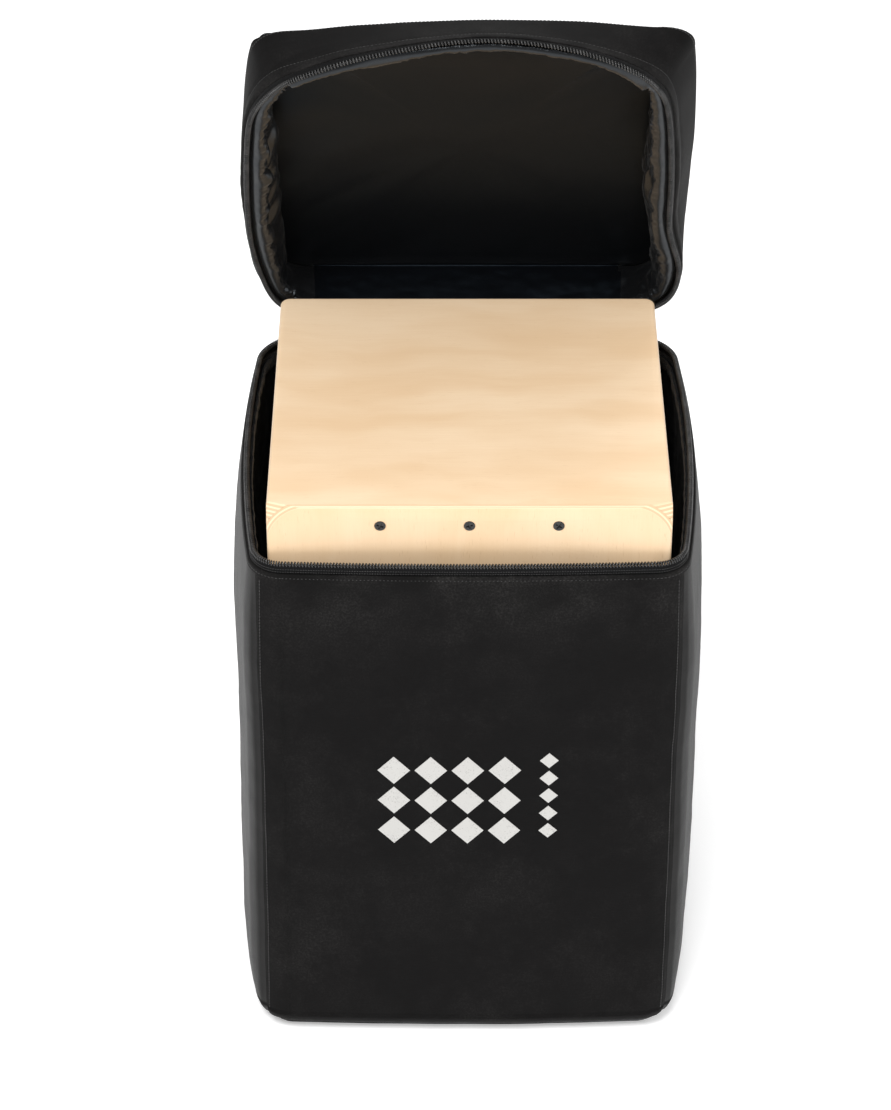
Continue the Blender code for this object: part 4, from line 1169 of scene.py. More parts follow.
    def build_lining(self) -> None:
        """The loose cloth cup inside the padded walls."""
        places = self.plan.places(self.column)
        outer = self.wall_thick + self.gap
        heights = np.r_[np.linspace(self.plan.panel_top - 1 * MM, 0.02, 120), np.linspace(0.018, 0.0095, 4)]
        s = np.broadcast_to(places[None, :], (len(heights), len(places)))
        height = np.broadcast_to(heights[:, None], s.shape)
        around = self.plan.point(s)
        place = np.stack([around[..., 0], around[..., 1], height], axis=-1)
        free = np.clip((self.plan.panel_top - height) / 0.03, 0, 1) * np.clip((height - 0.01) / 0.05, 0, 1)
        folds = np.abs(wander(place * np.array([1.6, 1.6, 0.55]), 0.045, 21.0)) * 2.6 * MM
        crinkle = np.abs(wander(place * np.array([1.0, 1.0, 1.3]), 0.014, 2.0)) * 1.1 * MM
        inset = outer + (folds + crinkle) * free * self.room(s)
        face = self.wall.at(s, inset, height)
        back = self.wall.at(s, inset + self.lining_thick, height)
        floor_z = self.plan.floor_top + 0.35 * MM
        rim = [self.floor_row(face[-1], k, floor_z) for k in (0.995, 0.6, 0.2)]
        inner = [self.floor_row(back[-1], k, floor_z + self.lining_thick) for k in (0.2, 0.6, 0.985)]
        rows = np.array([*rim[::-1], *face[::-1], *back, *inner[::-1]])
        run = self.plan.run_at(places)
        flat_wall = np.stack(np.broadcast_arrays(run[None, :], heights[:, None]), axis=-1)
        under, over = (r[:, :2] for r in rim[::-1]), (r[:, :2] for r in inner[::-1])
        flats = np.array([*under, *flat_wall[::-1], *flat_wall, *over])
        lining = dress(Loft("bag_inner_lining", rows, flats, True, False, True).build(), self.finishes.satin)
        around_length = float(self.plan.run_at(np.array([8.0]))[0])
        area = around_length * self.plan.panel_top + 0.35 * 0.34
        self.lining_flat = (around_length, 0.56)
        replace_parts(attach(lining, "bag"), "bag_lining")
        LOG.info("bag lining: flat %.3f x %.3f m, area %.3f m2", *self.lining_flat, area)

    def room(self, s: np.ndarray) -> np.ndarray:
        """How freely the lining can stand off the wall beside the drum."""
        x = np.abs(self.plan.point(s)[..., 0])
        y = self.plan.point(s)[..., 1]
        return np.where((x > 0.14) & (y > -0.14), 1.0, 0.5)

    @staticmethod
    def floor_row(row: np.ndarray, scale: float, z: float) -> np.ndarray:
        """A ring on the bag's floor."""
        flat = row * np.array([scale, scale, 1.0])
        flat[:, 2] = z
        return flat

    def build_rim(self) -> None:
        """The bound edge inside the rim, the zip's tape and its coil."""
        places = self.plan.places(1.6 * MM)
        inner = self.wall_thick + self.lining_thick + 3 * self.gap
        top = self.plan.panel_top

        def ruffle(s: np.ndarray, inset: np.ndarray, height: np.ndarray) -> tuple[np.ndarray, np.ndarray]:
            """Inset and height with the cloth's loose folds in them."""
            place = np.stack([*np.moveaxis(self.plan.point(s), -1, 0), height * 0.3], axis=-1)
            wave = np.maximum(wander(place, 0.009, 4.0), -0.3)
            strong = 0.35 + 0.5 * near_corners(s)
            return inset + wave * 1.9 * MM * strong * self.room(s), height + wander(place, 0.03, 9.0) * 0.5 * MM

        section = oval(inner + 1.3 * MM, top - 5.2 * MM, 2.6 * MM, 11.5 * MM, 14)
        roll = band("bag_rim_roll", self.wall, section, places, True, ruffle)
        dress(roll, self.finishes.binding)
        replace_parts(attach(roll, "bag"), "bag_rim_binding")
        ends = self.zip_ends()
        run = self.plan.places(2.5 * MM, *ends)
        tape_in, coil_height = 2.0 * MM, self.plan.fold_height - 2.6 * MM
        tape = np.array([
            (tape_in, top - 0.5 * MM), (tape_in, coil_height - 0.4 * MM),
            (tape_in + 0.9 * MM, coil_height - 0.4 * MM), (tape_in + 0.9 * MM, top - 0.5 * MM),
        ])
        piece = dress(band("bag_tape", self.wall, tape, run, False, worn=self.tape_worn), self.finishes.tape)
        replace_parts(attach(piece, "bag"), "bag_zip_tape")
        teeth = dress(coil("bag_coil", self.wall, 3.8 * MM, coil_height, ends), self.finishes.coil)
        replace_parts(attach(teeth, "bag"), "bag_zip_coil")
        fine = self.plan.places(1.2 * MM, *ends)
        out = np.c_[self.plan.out(fine), np.zeros(len(fine))]
        for k, z in enumerate((top + 1.6 * MM, top + 3.8 * MM)):
            path = self.wall.at(fine, tape_in - 0.15 * MM, z)
            row = stitch_row(f"bag_tape_stitches_{k + 1}", path, out, 1.9 * MM, 0.30 * MM)
            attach(dress(row, self.finishes.thread), "bag")
        LOG.info("bag rim, tape and coil")

    @staticmethod
    def tape_worn(s: np.ndarray, height: np.ndarray) -> np.ndarray:
        """The tape is hardly rubbed."""
        return np.full(s.shape, 0.15)

    def zip_ends(self) -> tuple[float, float]:
        """Where the zip starts and ends, from the left of the back round the front to its right."""
        end = self.plan.half_width - self.plan.far - 2 * MM
        return (self.plan.at_back(-end), self.plan.at_back(end) + 8.0)

    def build_print(self) -> None:
        """A plain pattern of lozenges printed on the front, with a narrow column beside it."""
        marks = []
        for column in range(4):
            for row in range(3):
                marks.append((-0.0575 + 0.0285 * column, 0.213 + 0.0295 * row, 0.0125, 0.0132))
        for row in range(5):
            marks.append((0.0620, 0.2125 + 0.0172 * row, 0.0072, 0.0072))
        places = []
        for x, z, wide, tall in marks:
            s = np.array([(x / (self.plan.half_width - self.plan.near) + 1) / 2])
            relief = self.shell_relief(s, np.array([z]))
            spot = self.wall.at(s, relief - 0.12 * MM, np.array([z]))[0]
            out = self.plan.out(s)[0]
            turn = frame_at(spot, (-out[1], out[0], 0.0), (out[0], out[1], 0.0))
            places.append(turn @ Matrix.Diagonal((wide, tall, 1.0, 1.0)))
        deselect()
        bpy.ops.mesh.primitive_cylinder_add(vertices=4, radius=1.0, depth=0.3 * MM)
        model = settle(bpy.context.object, "lozenge")
        model.data.transform(Matrix.Identity(4))
        pattern = repeat(model, "front_print", places)
        for polygon in pattern.data.polygons:
            polygon.use_smooth = False
        dress(pattern, self.finishes.print)
        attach(pattern, "bag")
        LOG.info("front print of %d lozenges", len(marks))

    def build(self) -> None:
        """Build the bag's own pieces in order."""
        self.build_shell()
        self.build_lining()
        self.build_rim()
        self.build_stitches()
        self.build_print()


@dataclass
class Lid:
    """The opened lid: padded shell, lining, bound edge, its half of the zip and the fold."""

    finishes: Finishes
    plan: BagPlan
    wall: LidWall
    bag: Bag
    thick: float = 0.005
    top: float = 0.5285
    lining_thick: float = 0.0006

    def shell_relief(self, s: np.ndarray, height: np.ndarray) -> np.ndarray:
        """How far the lid's wall stands in from its plain shape."""
        around = self.plan.point(s)
        place = np.stack([around[..., 0], around[..., 1], height * 0.5], axis=-1)
        pucker = np.abs(wander(np.stack([around[..., 0], around[..., 1], height * 0.12], axis=-1), 0.014, 6.0))
        near_edge = bell(height - self.wall.edge - 3 * MM, 10 * MM)
        relief = wander(place, 0.08, 12.0, 2) * 2.0 * MM + pucker * 0.6 * MM * near_edge
        hem = bell(height - (self.wall.edge + 8.5 * MM), 1.6 * MM) * 0.6 * MM
        piping = bell(height - (self.top - 0.014), 2.0 * MM) * 0.5 * MM
        above_edge = np.clip((height - self.wall.edge - 0.01) / 0.03, 0, 1)
        stretched = bell(s % 8.0 - 1.6, 0.75) * above_edge * 10 * MM
        return relief + hem + piping - stretched

    def build_shell(self) -> None:
        """The padded shell, from the panel's middle over its soft edge, down the wall and back inside."""
        places = self.plan.places(3.2 * MM)
        edge = self.wall.edge
        turn = np.linspace(0, math.pi / 2, 9)
        shoulder = [(0.016 * (1 - math.sin(a)), self.top - 0.014 * (1 - math.cos(a))) for a in turn]
        down = rounded([(0.0, self.top - 0.0165), (0.0, edge + 1.5 * MM)], 2.6 * MM, 0)
        rim = [(0.6 * MM, edge + 0.3 * MM), (1.8 * MM, edge), (4.0 * MM, edge), (self.thick, edge + 1.2 * MM)]
        up = [(self.thick, z) for z in np.linspace(edge + 3 * MM, self.wall.top, 12)]
        section = np.array([*shoulder, *down.tolist(), *rim, *up])
        s = np.broadcast_to(places[None, :], (len(section), len(places)))
        inset = np.broadcast_to(section[:, 0:1], s.shape).copy()
        height = np.broadcast_to(section[:, 1:2], s.shape).copy()
        outside = np.broadcast_to((np.arange(len(section)) < len(shoulder) + len(down))[:, None], s.shape)
        inset = inset + np.where(outside, self.shell_relief(s, height), 0.0)
        upper = np.clip((height - self.wall.top + 0.01) / 0.012, 0, 1)
        height = height - near_corners(s, 0.45) * self.wall.corner_drop * upper * np.where(outside, 1.0, 0.7)
        height = height - self.wall.drooped(s) * upper * np.where(outside, 1.0, 0.8)
        points = self.wall.at(s, inset, height)
        rings = (0.04, 0.12, 0.22, 0.32, 0.42, 0.52, 0.62, 0.71, 0.79, 0.86, 0.92, 0.96)
        panel = [self.panel_row(places, k, self.top, 0.016) for k in rings]
        inner_rings = (0.96, 0.8, 0.6, 0.4, 0.2, 0.05)
        below = [self.panel_row(places, k, self.wall.top + 0.3 * MM, 0.006) for k in inner_rings]
        run = np.r_[0.0, np.cumsum(np.linalg.norm(np.diff(section, axis=0), axis=1))]
        flat = np.stack(np.broadcast_arrays(self.plan.run_at(places)[None, :], run[:, None]), axis=-1)
        rows = np.array([*panel, *points, *below])
        flats = np.array([*(self.flat_row(p) for p in panel), *flat, *(self.flat_row(p) for p in below)])
        rub = np.zeros(rows.shape[:2])
        first = len(panel)
        rub[first:first + len(section)] = self.rubbed(s, height)
        shell = dress(Loft("lid_shell", rows, flats, True, False, True, rub).build(), self.finishes.nylon)
        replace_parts(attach(shell, "lid"), "lid_top_panel", "lid_side_band")
        LOG.info("lid shell: %d faces", len(shell.data.polygons))

    def panel_row(self, places: np.ndarray, scale: float, height: float, inset: float) -> np.ndarray:
        """A ring of the lid's flat panel, shrunk about its middle, with soft swells."""
        flat = self.plan.point(places, inset) * scale
        place = np.c_[flat, np.full(len(flat), height)]
        fade = 1 - scale**4
        outer = height > self.wall.top + 1 * MM
        swell = (wander(place, 0.09, 17.0) * 1.6 * MM + 1.2 * MM) * fade * (1.0 if outer else 0.0)
        drop = near_corners(places, 0.45) * self.wall.corner_drop * scale**14 * (1.0 if outer else 0.7)
        far = self.wall.drooped(places) * scale**4 * (1.0 if outer else 0.8)
        return self.wall.opened_point(flat, height + swell - drop - far)

    def flat_row(self, row: np.ndarray) -> np.ndarray:
        """The cloth's own coordinates on the panel."""
        return np.c_[row[:, 0], np.hypot(row[:, 1], row[:, 2])]

    def rubbed(self, s: np.ndarray, height: np.ndarray) -> np.ndarray:
        """Where the lid's cloth is paler: its edge, its soft corners and its shoulder."""
        around = self.plan.point(s)
        place = np.stack([around[..., 0], around[..., 1], height], axis=-1)
        patchy = np.clip(0.6 + wander(place, 0.028, 15.5), 0.1, 1.3)
        hem = bell(height - self.wall.edge, 9 * MM) * 0.45
        shoulder = bell(height - (self.top - 6 * MM), 7 * MM) * (0.25 + 0.5 * near_corners(s, 0.7))
        return (hem + shoulder) * patchy

    def build_lining(self) -> None:
        """The cloth cup inside the lid, with loose folds down its walls."""
        places = self.plan.places(3.0 * MM)
        start, top = self.wall.edge + 2 * MM, self.wall.top
        heights = np.linspace(start, top - 1.2 * MM, 34)
        s = np.broadcast_to(places[None, :], (len(heights), len(places)))
        height = np.broadcast_to(heights[:, None], s.shape)
        inset = self.thick + 0.3 * MM + self.fold_relief(s, height)
        height = height - self.wall.drooped(s) * 0.85 * ((height - start) / (top - start)) ** 2
        face = self.wall.at(s, inset, height)
        back = self.wall.at(s, inset + self.lining_thick, height)
        scales = (0.985, 0.965, 0.94, 0.9, 0.84, 0.76, 0.66, 0.54, 0.4, 0.25, 0.1)
        over = [self.ceiling_row(places, k, top - 0.2 * MM) for k in scales]
        under = [self.ceiling_row(places, k, top - 0.2 * MM - self.lining_thick) for k in scales]
        run = self.plan.run_at(places)
        wall_flat = np.stack(np.broadcast_arrays(run[None, :], heights[:, None]), axis=-1)
        rows = np.array([*over[::-1], *face[::-1], *back, *under])
        flats = np.array([
            *(self.flat_row(r) for r in over[::-1]), *wall_flat[::-1], *wall_flat,
            *(self.flat_row(r) for r in under),
        ])
        lining = dress(Loft("lid_inner_lining", rows, flats, True, False, True).build(), self.finishes.satin)
        # Painted light: the side walls take the lighter, glossier binding satin instead of the lining's, for
        # brighter folds.
        lining.data.materials.append(self.finishes.binding)
        for polygon in lining.data.polygons:
            ring = polygon.index // len(places)
            on_wall = len(over) <= ring < len(over) + 2 * len(heights) - 1
            polygon.material_index = int(on_wall and abs(polygon.center.x) > 0.125)
        length = float(self.plan.run_at(np.array([8.0]))[0])
        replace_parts(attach(lining, "lid"), "lid_lining")

    def fold_relief(self, s: np.ndarray, height: np.ndarray) -> np.ndarray:
        """Loose folds of the lining's wall, standing in from the padding."""
        around = self.plan.point(s)
        place = np.stack([around[..., 0], around[..., 1], height], axis=-1)
        share = np.clip((height - self.wall.edge) / (self.wall.top - self.wall.edge), 0, 1)
        middle = 4 * share * (1 - share)
        turn = s % 8.0
        left, right = bell(turn - 6.4, 0.75), bell(turn - 2.55, 0.7)
        skew = place + np.stack([0 * height, height * 0.9, 0 * height], axis=-1)
        diagonal = np.abs(wander(skew * np.array([1, 1, 0.4]), 0.020, 31.0))
        long = np.abs(wander(place * np.array([1.0, 0.22, 1.6]), 0.016, 41.0))
        gather = np.abs(wander(place * np.array([1.0, 1.0, 0.5]), 0.011, 51.0)) * near_corners(s, 0.4)
        plain = np.abs(wander(place, 0.03, 61.0))
        relief = diagonal * left * 6.5 + long * right * 7.5 + gather * 4.0 + plain * 2.0
        bag_in = np.sin(math.pi * share**1.4) * (left * 17.0 + right * 22.0)
        return (relief * middle + bag_in) * MM

    def ceiling_row(self, places: np.ndarray, scale: float, height: float) -> np.ndarray:
        """A ring of the lining on the lid's panel."""
        flat = self.plan.point(places, self.thick + 1.2 * MM) * scale
        place = np.c_[flat, np.zeros(len(flat))]
        sag = (wander(place * np.array([0.7, 1.2, 1.0]), 0.10, 71.0, 2) + 0.6) * 2.4 * MM
        across = np.c_[flat[:, 0] * 0.9 + flat[:, 1], (flat[:, 1] - flat[:, 0]) * 0.25, flat[:, 0] * 0]
        diagonal = wander(across, 0.055, 81.0, 2) + 0.5
        fade = np.clip((1 - scale) / 0.06, 0, 1)
        drop = near_corners(places, 0.45) * self.wall.corner_drop * scale**10 * 0.75
        drop = drop + self.wall.drooped(places) * 0.85 * scale**4
        return self.wall.opened_point(flat, height - (sag + diagonal * 1.6 * MM) * fade - drop)

    def build_edge(self) -> None:
        """The satin roll that binds the edge, the zip's tape, its stitching and its coil."""
        places = self.plan.places(1.3 * MM)
        edge = self.wall.edge

        run_of = self.plan.run_at

        def ruffle(s: np.ndarray, inset: np.ndarray, height: np.ndarray) -> tuple[np.ndarray, np.ndarray]:
            """Inset and height with the cloth's loose folds in them."""
            around = self.plan.point(s)
            place = np.stack([around[..., 0], around[..., 1], height * 0.25], axis=-1)
            skew = place + np.stack([height * 0, height * 0.6, height * 0], axis=-1)
            fine = np.abs(wander(skew, 0.0075, 24.0))
            broad = wander(place, 0.024, 29.0)
            turn = s % 8.0
            sides = bell(turn - 2.5, 0.6) + bell(turn - 6.5, 0.6)
            strong = 0.55 + 0.8 * near_corners(s, 0.45) + 0.35 * sides
            bunch = bell(turn - 0.28, 0.06) + 1.7 * bell(turn - 0.97, 0.07) + 0.8 * bell(turn - 5.6, 0.3)
            full = np.clip((inset - self.thick - 1 * MM) / (5 * MM), 0, 1)
            lengthways = np.stack([run_of(s), height * 1.5, 0 * height], axis=-1) * FOLD_STRETCH
            long = np.abs(wander(lengthways, 0.006, 44.0))
            right = bell(turn - 2.5, 0.6)
            fine = fine * (1 - 0.6 * right) + long * 1.3 * right
            swell = (fine * 5.2 * strong + (1.5 + broad) * (bunch * 2.6 + sides * 3.2)) * MM
            hang = bell(turn - 0.5, 0.62)
            inset = inset + swell * full + hang * 3.0 * MM * full
            return inset, height + (broad * 1.3 * strong + bunch * 0.8 - hang * 4.2) * MM * full

        section = oval(self.thick + 4.2 * MM, edge + 2.2 * MM, 7.4 * MM, 10.0 * MM, 18)
        roll = band("lid_edge_roll", self.wall, section, places, True, ruffle)
        dress(roll, self.finishes.binding)
        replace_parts(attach(roll, "lid"), "lid_rim_binding")
        ends = self.bag.zip_ends()
        run = self.plan.places(2.5 * MM, *ends)
        tape_in, coil_height = 2.0 * MM, self.plan.fold_height + 2.6 * MM
        tape = np.array([
            (tape_in, edge + 0.5 * MM), (tape_in, coil_height + 0.4 * MM),
            (tape_in + 0.9 * MM, coil_height + 0.4 * MM), (tape_in + 0.9 * MM, edge + 0.5 * MM),
        ])
        piece = dress(band("lid_tape", self.wall, tape, run, False, worn=Bag.tape_worn), self.finishes.tape)
        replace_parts(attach(piece, "lid"), "lid_zip_tape")
        teeth = dress(coil("lid_coil", self.wall, 3.8 * MM, coil_height, ends), self.finishes.coil)
        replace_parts(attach(teeth, "lid"), "lid_zip_coil")
        self.stitch("lid_stitches_edge", edge + 8.5 * MM, 2.9 * MM, 0.42 * MM)
        self.stitch("lid_stitches_shoulder", self.top - 0.0165, 2.9 * MM, 0.42 * MM)
        LOG.info("lid edge roll, tape and coil")

    def stitch(self, name: str, height: float, pitch: float, thick: float) -> None:
        """One row of stitches round the lid's outside."""
        s = self.plan.places(1.5 * MM)
        s = np.r_[s, s[0] + 8.0]
        z = np.full(len(s), height)
        relief = self.shell_relief(s, z)
        path = self.wall.at(s, relief - 0.05 * MM, z)
        outside = self.wall.at(s, relief - 2 * MM, z) - path
        row = dress(stitch_row(name, path, outside, pitch, thick), self.finishes.thread)
        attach(row, "lid")

    def build_fold(self) -> None:
        """The strip of cloth that joins bag and lid along the back."""
        half, steps = 0.1010, 70
        x = np.linspace(-half, half, steps)
        y = self.plan.back - self.thick / 2
        fold = self.plan.fold_height
        below = [(y, z) for z in (fold - 9.4 * MM, fold - 7 * MM, fold - 4.5 * MM, fold - 2.5 * MM)]
        hinge_y = self.plan.fold_y
        above = []
        for height in (fold + 2.5 * MM, fold + 4.5 * MM, fold + 7.0 * MM):
            spot = self.wall.opened_point(np.array([0.0, self.plan.back - self.thick / 2]), np.array(height))
            above.append((float(spot[1]), float(spot[2])))
        line = rounded([*below, (hinge_y - 1.2 * MM, fold), *above], 1.1 * MM, 3)
        way = np.gradient(line, axis=0)
        way /= np.linalg.norm(way, axis=1, keepdims=True)
        side = np.c_[way[:, 1], -way[:, 0]]
        ring = np.r_[line + side * 0.7 * MM, (line - side * 0.7 * MM)[::-1]]
        points = np.zeros((len(ring), steps, 3))
        points[..., 0] = x[None, :]
        points[..., 1], points[..., 2] = ring[:, 0:1], ring[:, 1:2]
        run = np.r_[0.0, np.cumsum(np.linalg.norm(np.diff(ring, axis=0), axis=1))]
        flat = np.stack(np.broadcast_arrays(x[None, :], run[:, None]), axis=-1)
        strip = dress(Loft("fold_strip", points, flat, False, True).build(), self.finishes.nylon)
        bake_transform(strip)
        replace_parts(strip, "lid_hinge_strip")
        LOG.info("fold strip")

    def build(self) -> None:
        """Build the lid's pieces in order."""
        self.build_shell()
        self.build_lining()
        self.build_edge()
        self.build_fold()


# ------------------------------------------------------------------ the straps and zip sliders


@dataclass
class Carrying:
    """Shoulder straps and grab handle on the bag's back."""

    finishes: Finishes
    plan: BagPlan
    bag: Bag
    strap_top: float = 0.3835
    pad_end: float = 0.1814
    pad_width: float = 0.055
    pad_thick: float = 0.009
    web_width: float = 0.025
    web_thick: float = 0.0016
    handle_half: float = 0.026
    handle_rise: float = 0.026
    handle_height: float = 0.3685

    @property
    def face(self) -> float:
        """The bag's back, just clear of the cloth."""
        return self.plan.back + 0.3 * MM

    def cloth_y(self, x: np.ndarray, z: np.ndarray) -> np.ndarray:
        """How far back the webbing lies at each point of its line, clear of the cloth's swells."""
        found = np.full(len(z), self.face)
        for offset in np.linspace(-0.5, 0.5, 5) * self.web_width:
            place = 4.0 + (1.0 - (x + offset) / (self.plan.half_width - self.plan.far)) / 2.0
            cloth = self.bag.wall.at(place, self.bag.shell_relief(place, z), z)[..., 1]
            found = np.maximum(found, cloth + 0.3 * MM)
        padded = np.pad(found, 4, mode="edge")
        highest = np.max([padded[k:k + len(z)] for k in range(9)], axis=0)
        padded = np.pad(highest, 4, mode="edge")
        return np.mean([padded[k:k + len(z)] for k in range(9)], axis=0)

    def line_x(self, z: np.ndarray) -> np.ndarray:
        """The right strap's centre line at each height."""
        share = np.clip((self.strap_top - z) / self.strap_top, 0, 1)
        return self.plan.half_width * (0.42 + 0.37 * share**1.6)

    def ribbon(
        self, name: str, line: np.ndarray, width: Vector, thick: float, columns: int = 9
    ) -> bpy.types.Object:
        """A flat woven strip with soft selvedges along a line."""
        way = np.gradient(line, axis=0)
        way /= np.linalg.norm(way, axis=1, keepdims=True)
        across = np.array(width)[None, :] - way * (way @ np.array(width))[:, None]
        across /= np.linalg.norm(across, axis=1, keepdims=True)
        up = np.cross(way, across)
        shares = np.linspace(-1, 1, columns)
        half = width.length / 2
        edge = np.sqrt(np.clip(1 - np.abs(shares) ** 6, 0.12, 1))
        rows = [line + across * half * k + up * thick / 2 * e for k, e in zip(shares, edge)]
        rows += [line + across * half * k - up * thick / 2 * e for k, e in zip(shares[::-1], edge)]
        points = np.array(rows)
        run = np.r_[0.0, np.cumsum(np.linalg.norm(np.diff(line, axis=0), axis=1))]
        offsets = np.r_[shares, shares[::-1]] * half
        flat = np.stack(np.broadcast_arrays(offsets[:, None], run[None, :]), axis=-1)
        return dress(Loft(name, points, flat, False, True).build(), self.finishes.webbing)

    def build_pad(self, side: int, label: str) -> None:
        """One padded upper strap: a quilted body with two rows of stitching."""
        z = np.linspace(self.strap_top, self.pad_end, 90)
        x = self.line_x(z) * side
        line = np.stack([x, np.zeros_like(x), z], axis=1)
        way = np.gradient(line, axis=0)
        way /= np.linalg.norm(way, axis=1, keepdims=True)
        across = np.stack([-way[:, 2], np.zeros_like(x), way[:, 0]], axis=1)
        run = np.r_[0.0, np.cumsum(np.linalg.norm(np.diff(line, axis=0), axis=1))]
        end = np.minimum(run, run[-1] - run)
        narrow = np.sqrt(np.clip(1 - (1 - np.clip(end / 0.014, 0, 1)) ** 2, 0.02, 1))
        half = self.pad_width / 2 * (0.55 + 0.45 * narrow)
        turn = np.linspace(0, 2 * math.pi, 40, endpoint=False)
        sine, cosine = np.sin(turn), np.cos(turn)
        wide = np.sign(cosine) * np.abs(cosine) ** 0.55
        tall = np.sign(sine) * np.abs(sine) ** 0.7
        place = line[None, :, :] + across[None, :, :] * (wide[:, None] * half[None, :])[..., None]
        puff = 1.0 + 0.10 * wander(place, 0.02, 6.6)
        seam = 1.0 - 0.45 * bell(np.abs(wide[:, None]) - 0.72, 0.07) * np.ones_like(puff)
        depth = self.pad_thick / 2 * np.clip(narrow, 0.4, 1)[None, :]
        rise = np.clip(tall[:, None] * depth * puff * seam, -self.pad_thick / 2, 0.006)
        points = place.copy()
        points[..., 1] = self.face + self.pad_thick / 2 + rise
        flat = np.stack(np.broadcast_arrays((wide * self.pad_width / 2)[:, None], run[None, :]), axis=-1)
        pad = dress(Loft(f"strap_pad_{label}", points, flat, False, True).build(), self.finishes.nylon)
        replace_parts(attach(pad, "bag"), f"shoulder_pad_{label}")
        for k in (-1, 1):
            sewn = line + across * (half * 0.72 * k)[:, None]
            sewn[:, 1] = self.face + self.pad_thick / 2 + (depth * 0.55 * 0.86)[0, :]
            out = np.tile([0.0, 1.0, 0.0], (len(sewn), 1))
            row = dress(stitch_row(f"pad_stitches_{label}_{k + 2}", sewn[4:-4], out[4:-4]), self.finishes.thread)
            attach(row, "bag")

    def build_lower(self, side: int, label: str) -> None:
        """The webbing below a pad and the ladder buckle that it runs through."""
        z = np.linspace(self.pad_end - 1.2 * MM, 0.030, 60)
        x = self.line_x(z) * side
        y = self.cloth_y(x, z) + self.web_thick / 2
        line = np.stack([x, y, z], axis=1)
        web = self.ribbon(f"strap_web_{label}", line, Vector((self.web_width, 0, 0)), self.web_thick)
        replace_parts(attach(web, "bag"), f"strap_webbing_{label}")
        centre_z = self.pad_end - 0.014 - 3.6 * MM
        centre_x = float(self.line_x(np.array([centre_z]))[0]) * side
        low_y = self.face + self.web_thick + 0.3 * MM
        corner = (centre_x - 0.018, low_y, centre_z - 0.014)
        buckle = block(corner, (centre_x + 0.018, low_y + 0.005, centre_z + 0.014))
        bevel_edges(buckle, 3 * MM, 4, lambda a, b: abs(a.y - b.y) > 1 * MM)
        for offset in (-0.0062, 0.0062):
            z0 = centre_z + offset
            corner = (centre_x - 0.0135, low_y - 0.01, z0 - 0.00275)
            hole = block(corner, (centre_x + 0.0135, low_y + 0.02, z0 + 0.00275))
            bevel_edges(hole, 1 * MM, 3, lambda a, b: abs(a.y - b.y) > 1 * MM)
            combine(buckle, hole, "DIFFERENCE")
        soften(buckle, 0.5 * MM)
        buckle.name = buckle.data.name = f"ladder_buckle_{label}"
        dress(buckle, self.finishes.buckle)
        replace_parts(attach(buckle, "bag"), f"strap_buckle_{label}")

    def build_handle(self) -> None:
        """The grab handle: a webbing loop with boxed stitching at its two ends."""
        steps = np.linspace(0, math.pi, 41)
        x = -self.handle_half * np.cos(steps)
        y = self.face + self.web_thick / 2 + self.handle_rise * np.sin(steps) ** 0.8
        foot = 0.012
        ends = np.array([self.face + self.web_thick / 2] * 4)
        left = np.linspace(-self.handle_half - foot, -self.handle_half - 2 * MM, 4)
        line_x = np.r_[left, x, -left[::-1]]
        line_y = np.r_[ends, y, ends]
        line = np.stack([line_x, line_y, np.full_like(line_x, self.handle_height)], axis=1)
        loop = self.ribbon("handle_loop", line, Vector((0, 0, self.web_width)), self.web_thick)
        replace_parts(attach(loop, "bag"), "grab_handle")
        for side in (-1, 1):
            near, far = side * (self.handle_half + 1 * MM), side * (self.handle_half + foot - 2 * MM)
            low, high = self.handle_height - 0.009, self.handle_height + 0.009
            y0 = self.face + self.web_thick + 0.1 * MM
            corners = [(near, low), (far, low), (far, high), (near, high), (near, low), (far, high)]
            fine = rounded(corners, 0.6 * MM, 0)
            path = np.stack([fine[:, 0], np.full(len(fine), y0), fine[:, 1]], axis=1)
            out = np.tile([0.0, 1.0, 0.0], (len(path), 1))
            row = stitch_row(f"handle_stitches_{side + 2}", path, out, 2.4 * MM, 0.3 * MM)
            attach(dress(row, self.finishes.thread), "bag")

    def build(self) -> None:
        """Build both straps and the handle."""
        for side, label in ((-1, "left"), (1, "right")):
            self.build_pad(side, label)
            self.build_lower(side, label)
        self.build_handle()
        LOG.info("straps and handle")


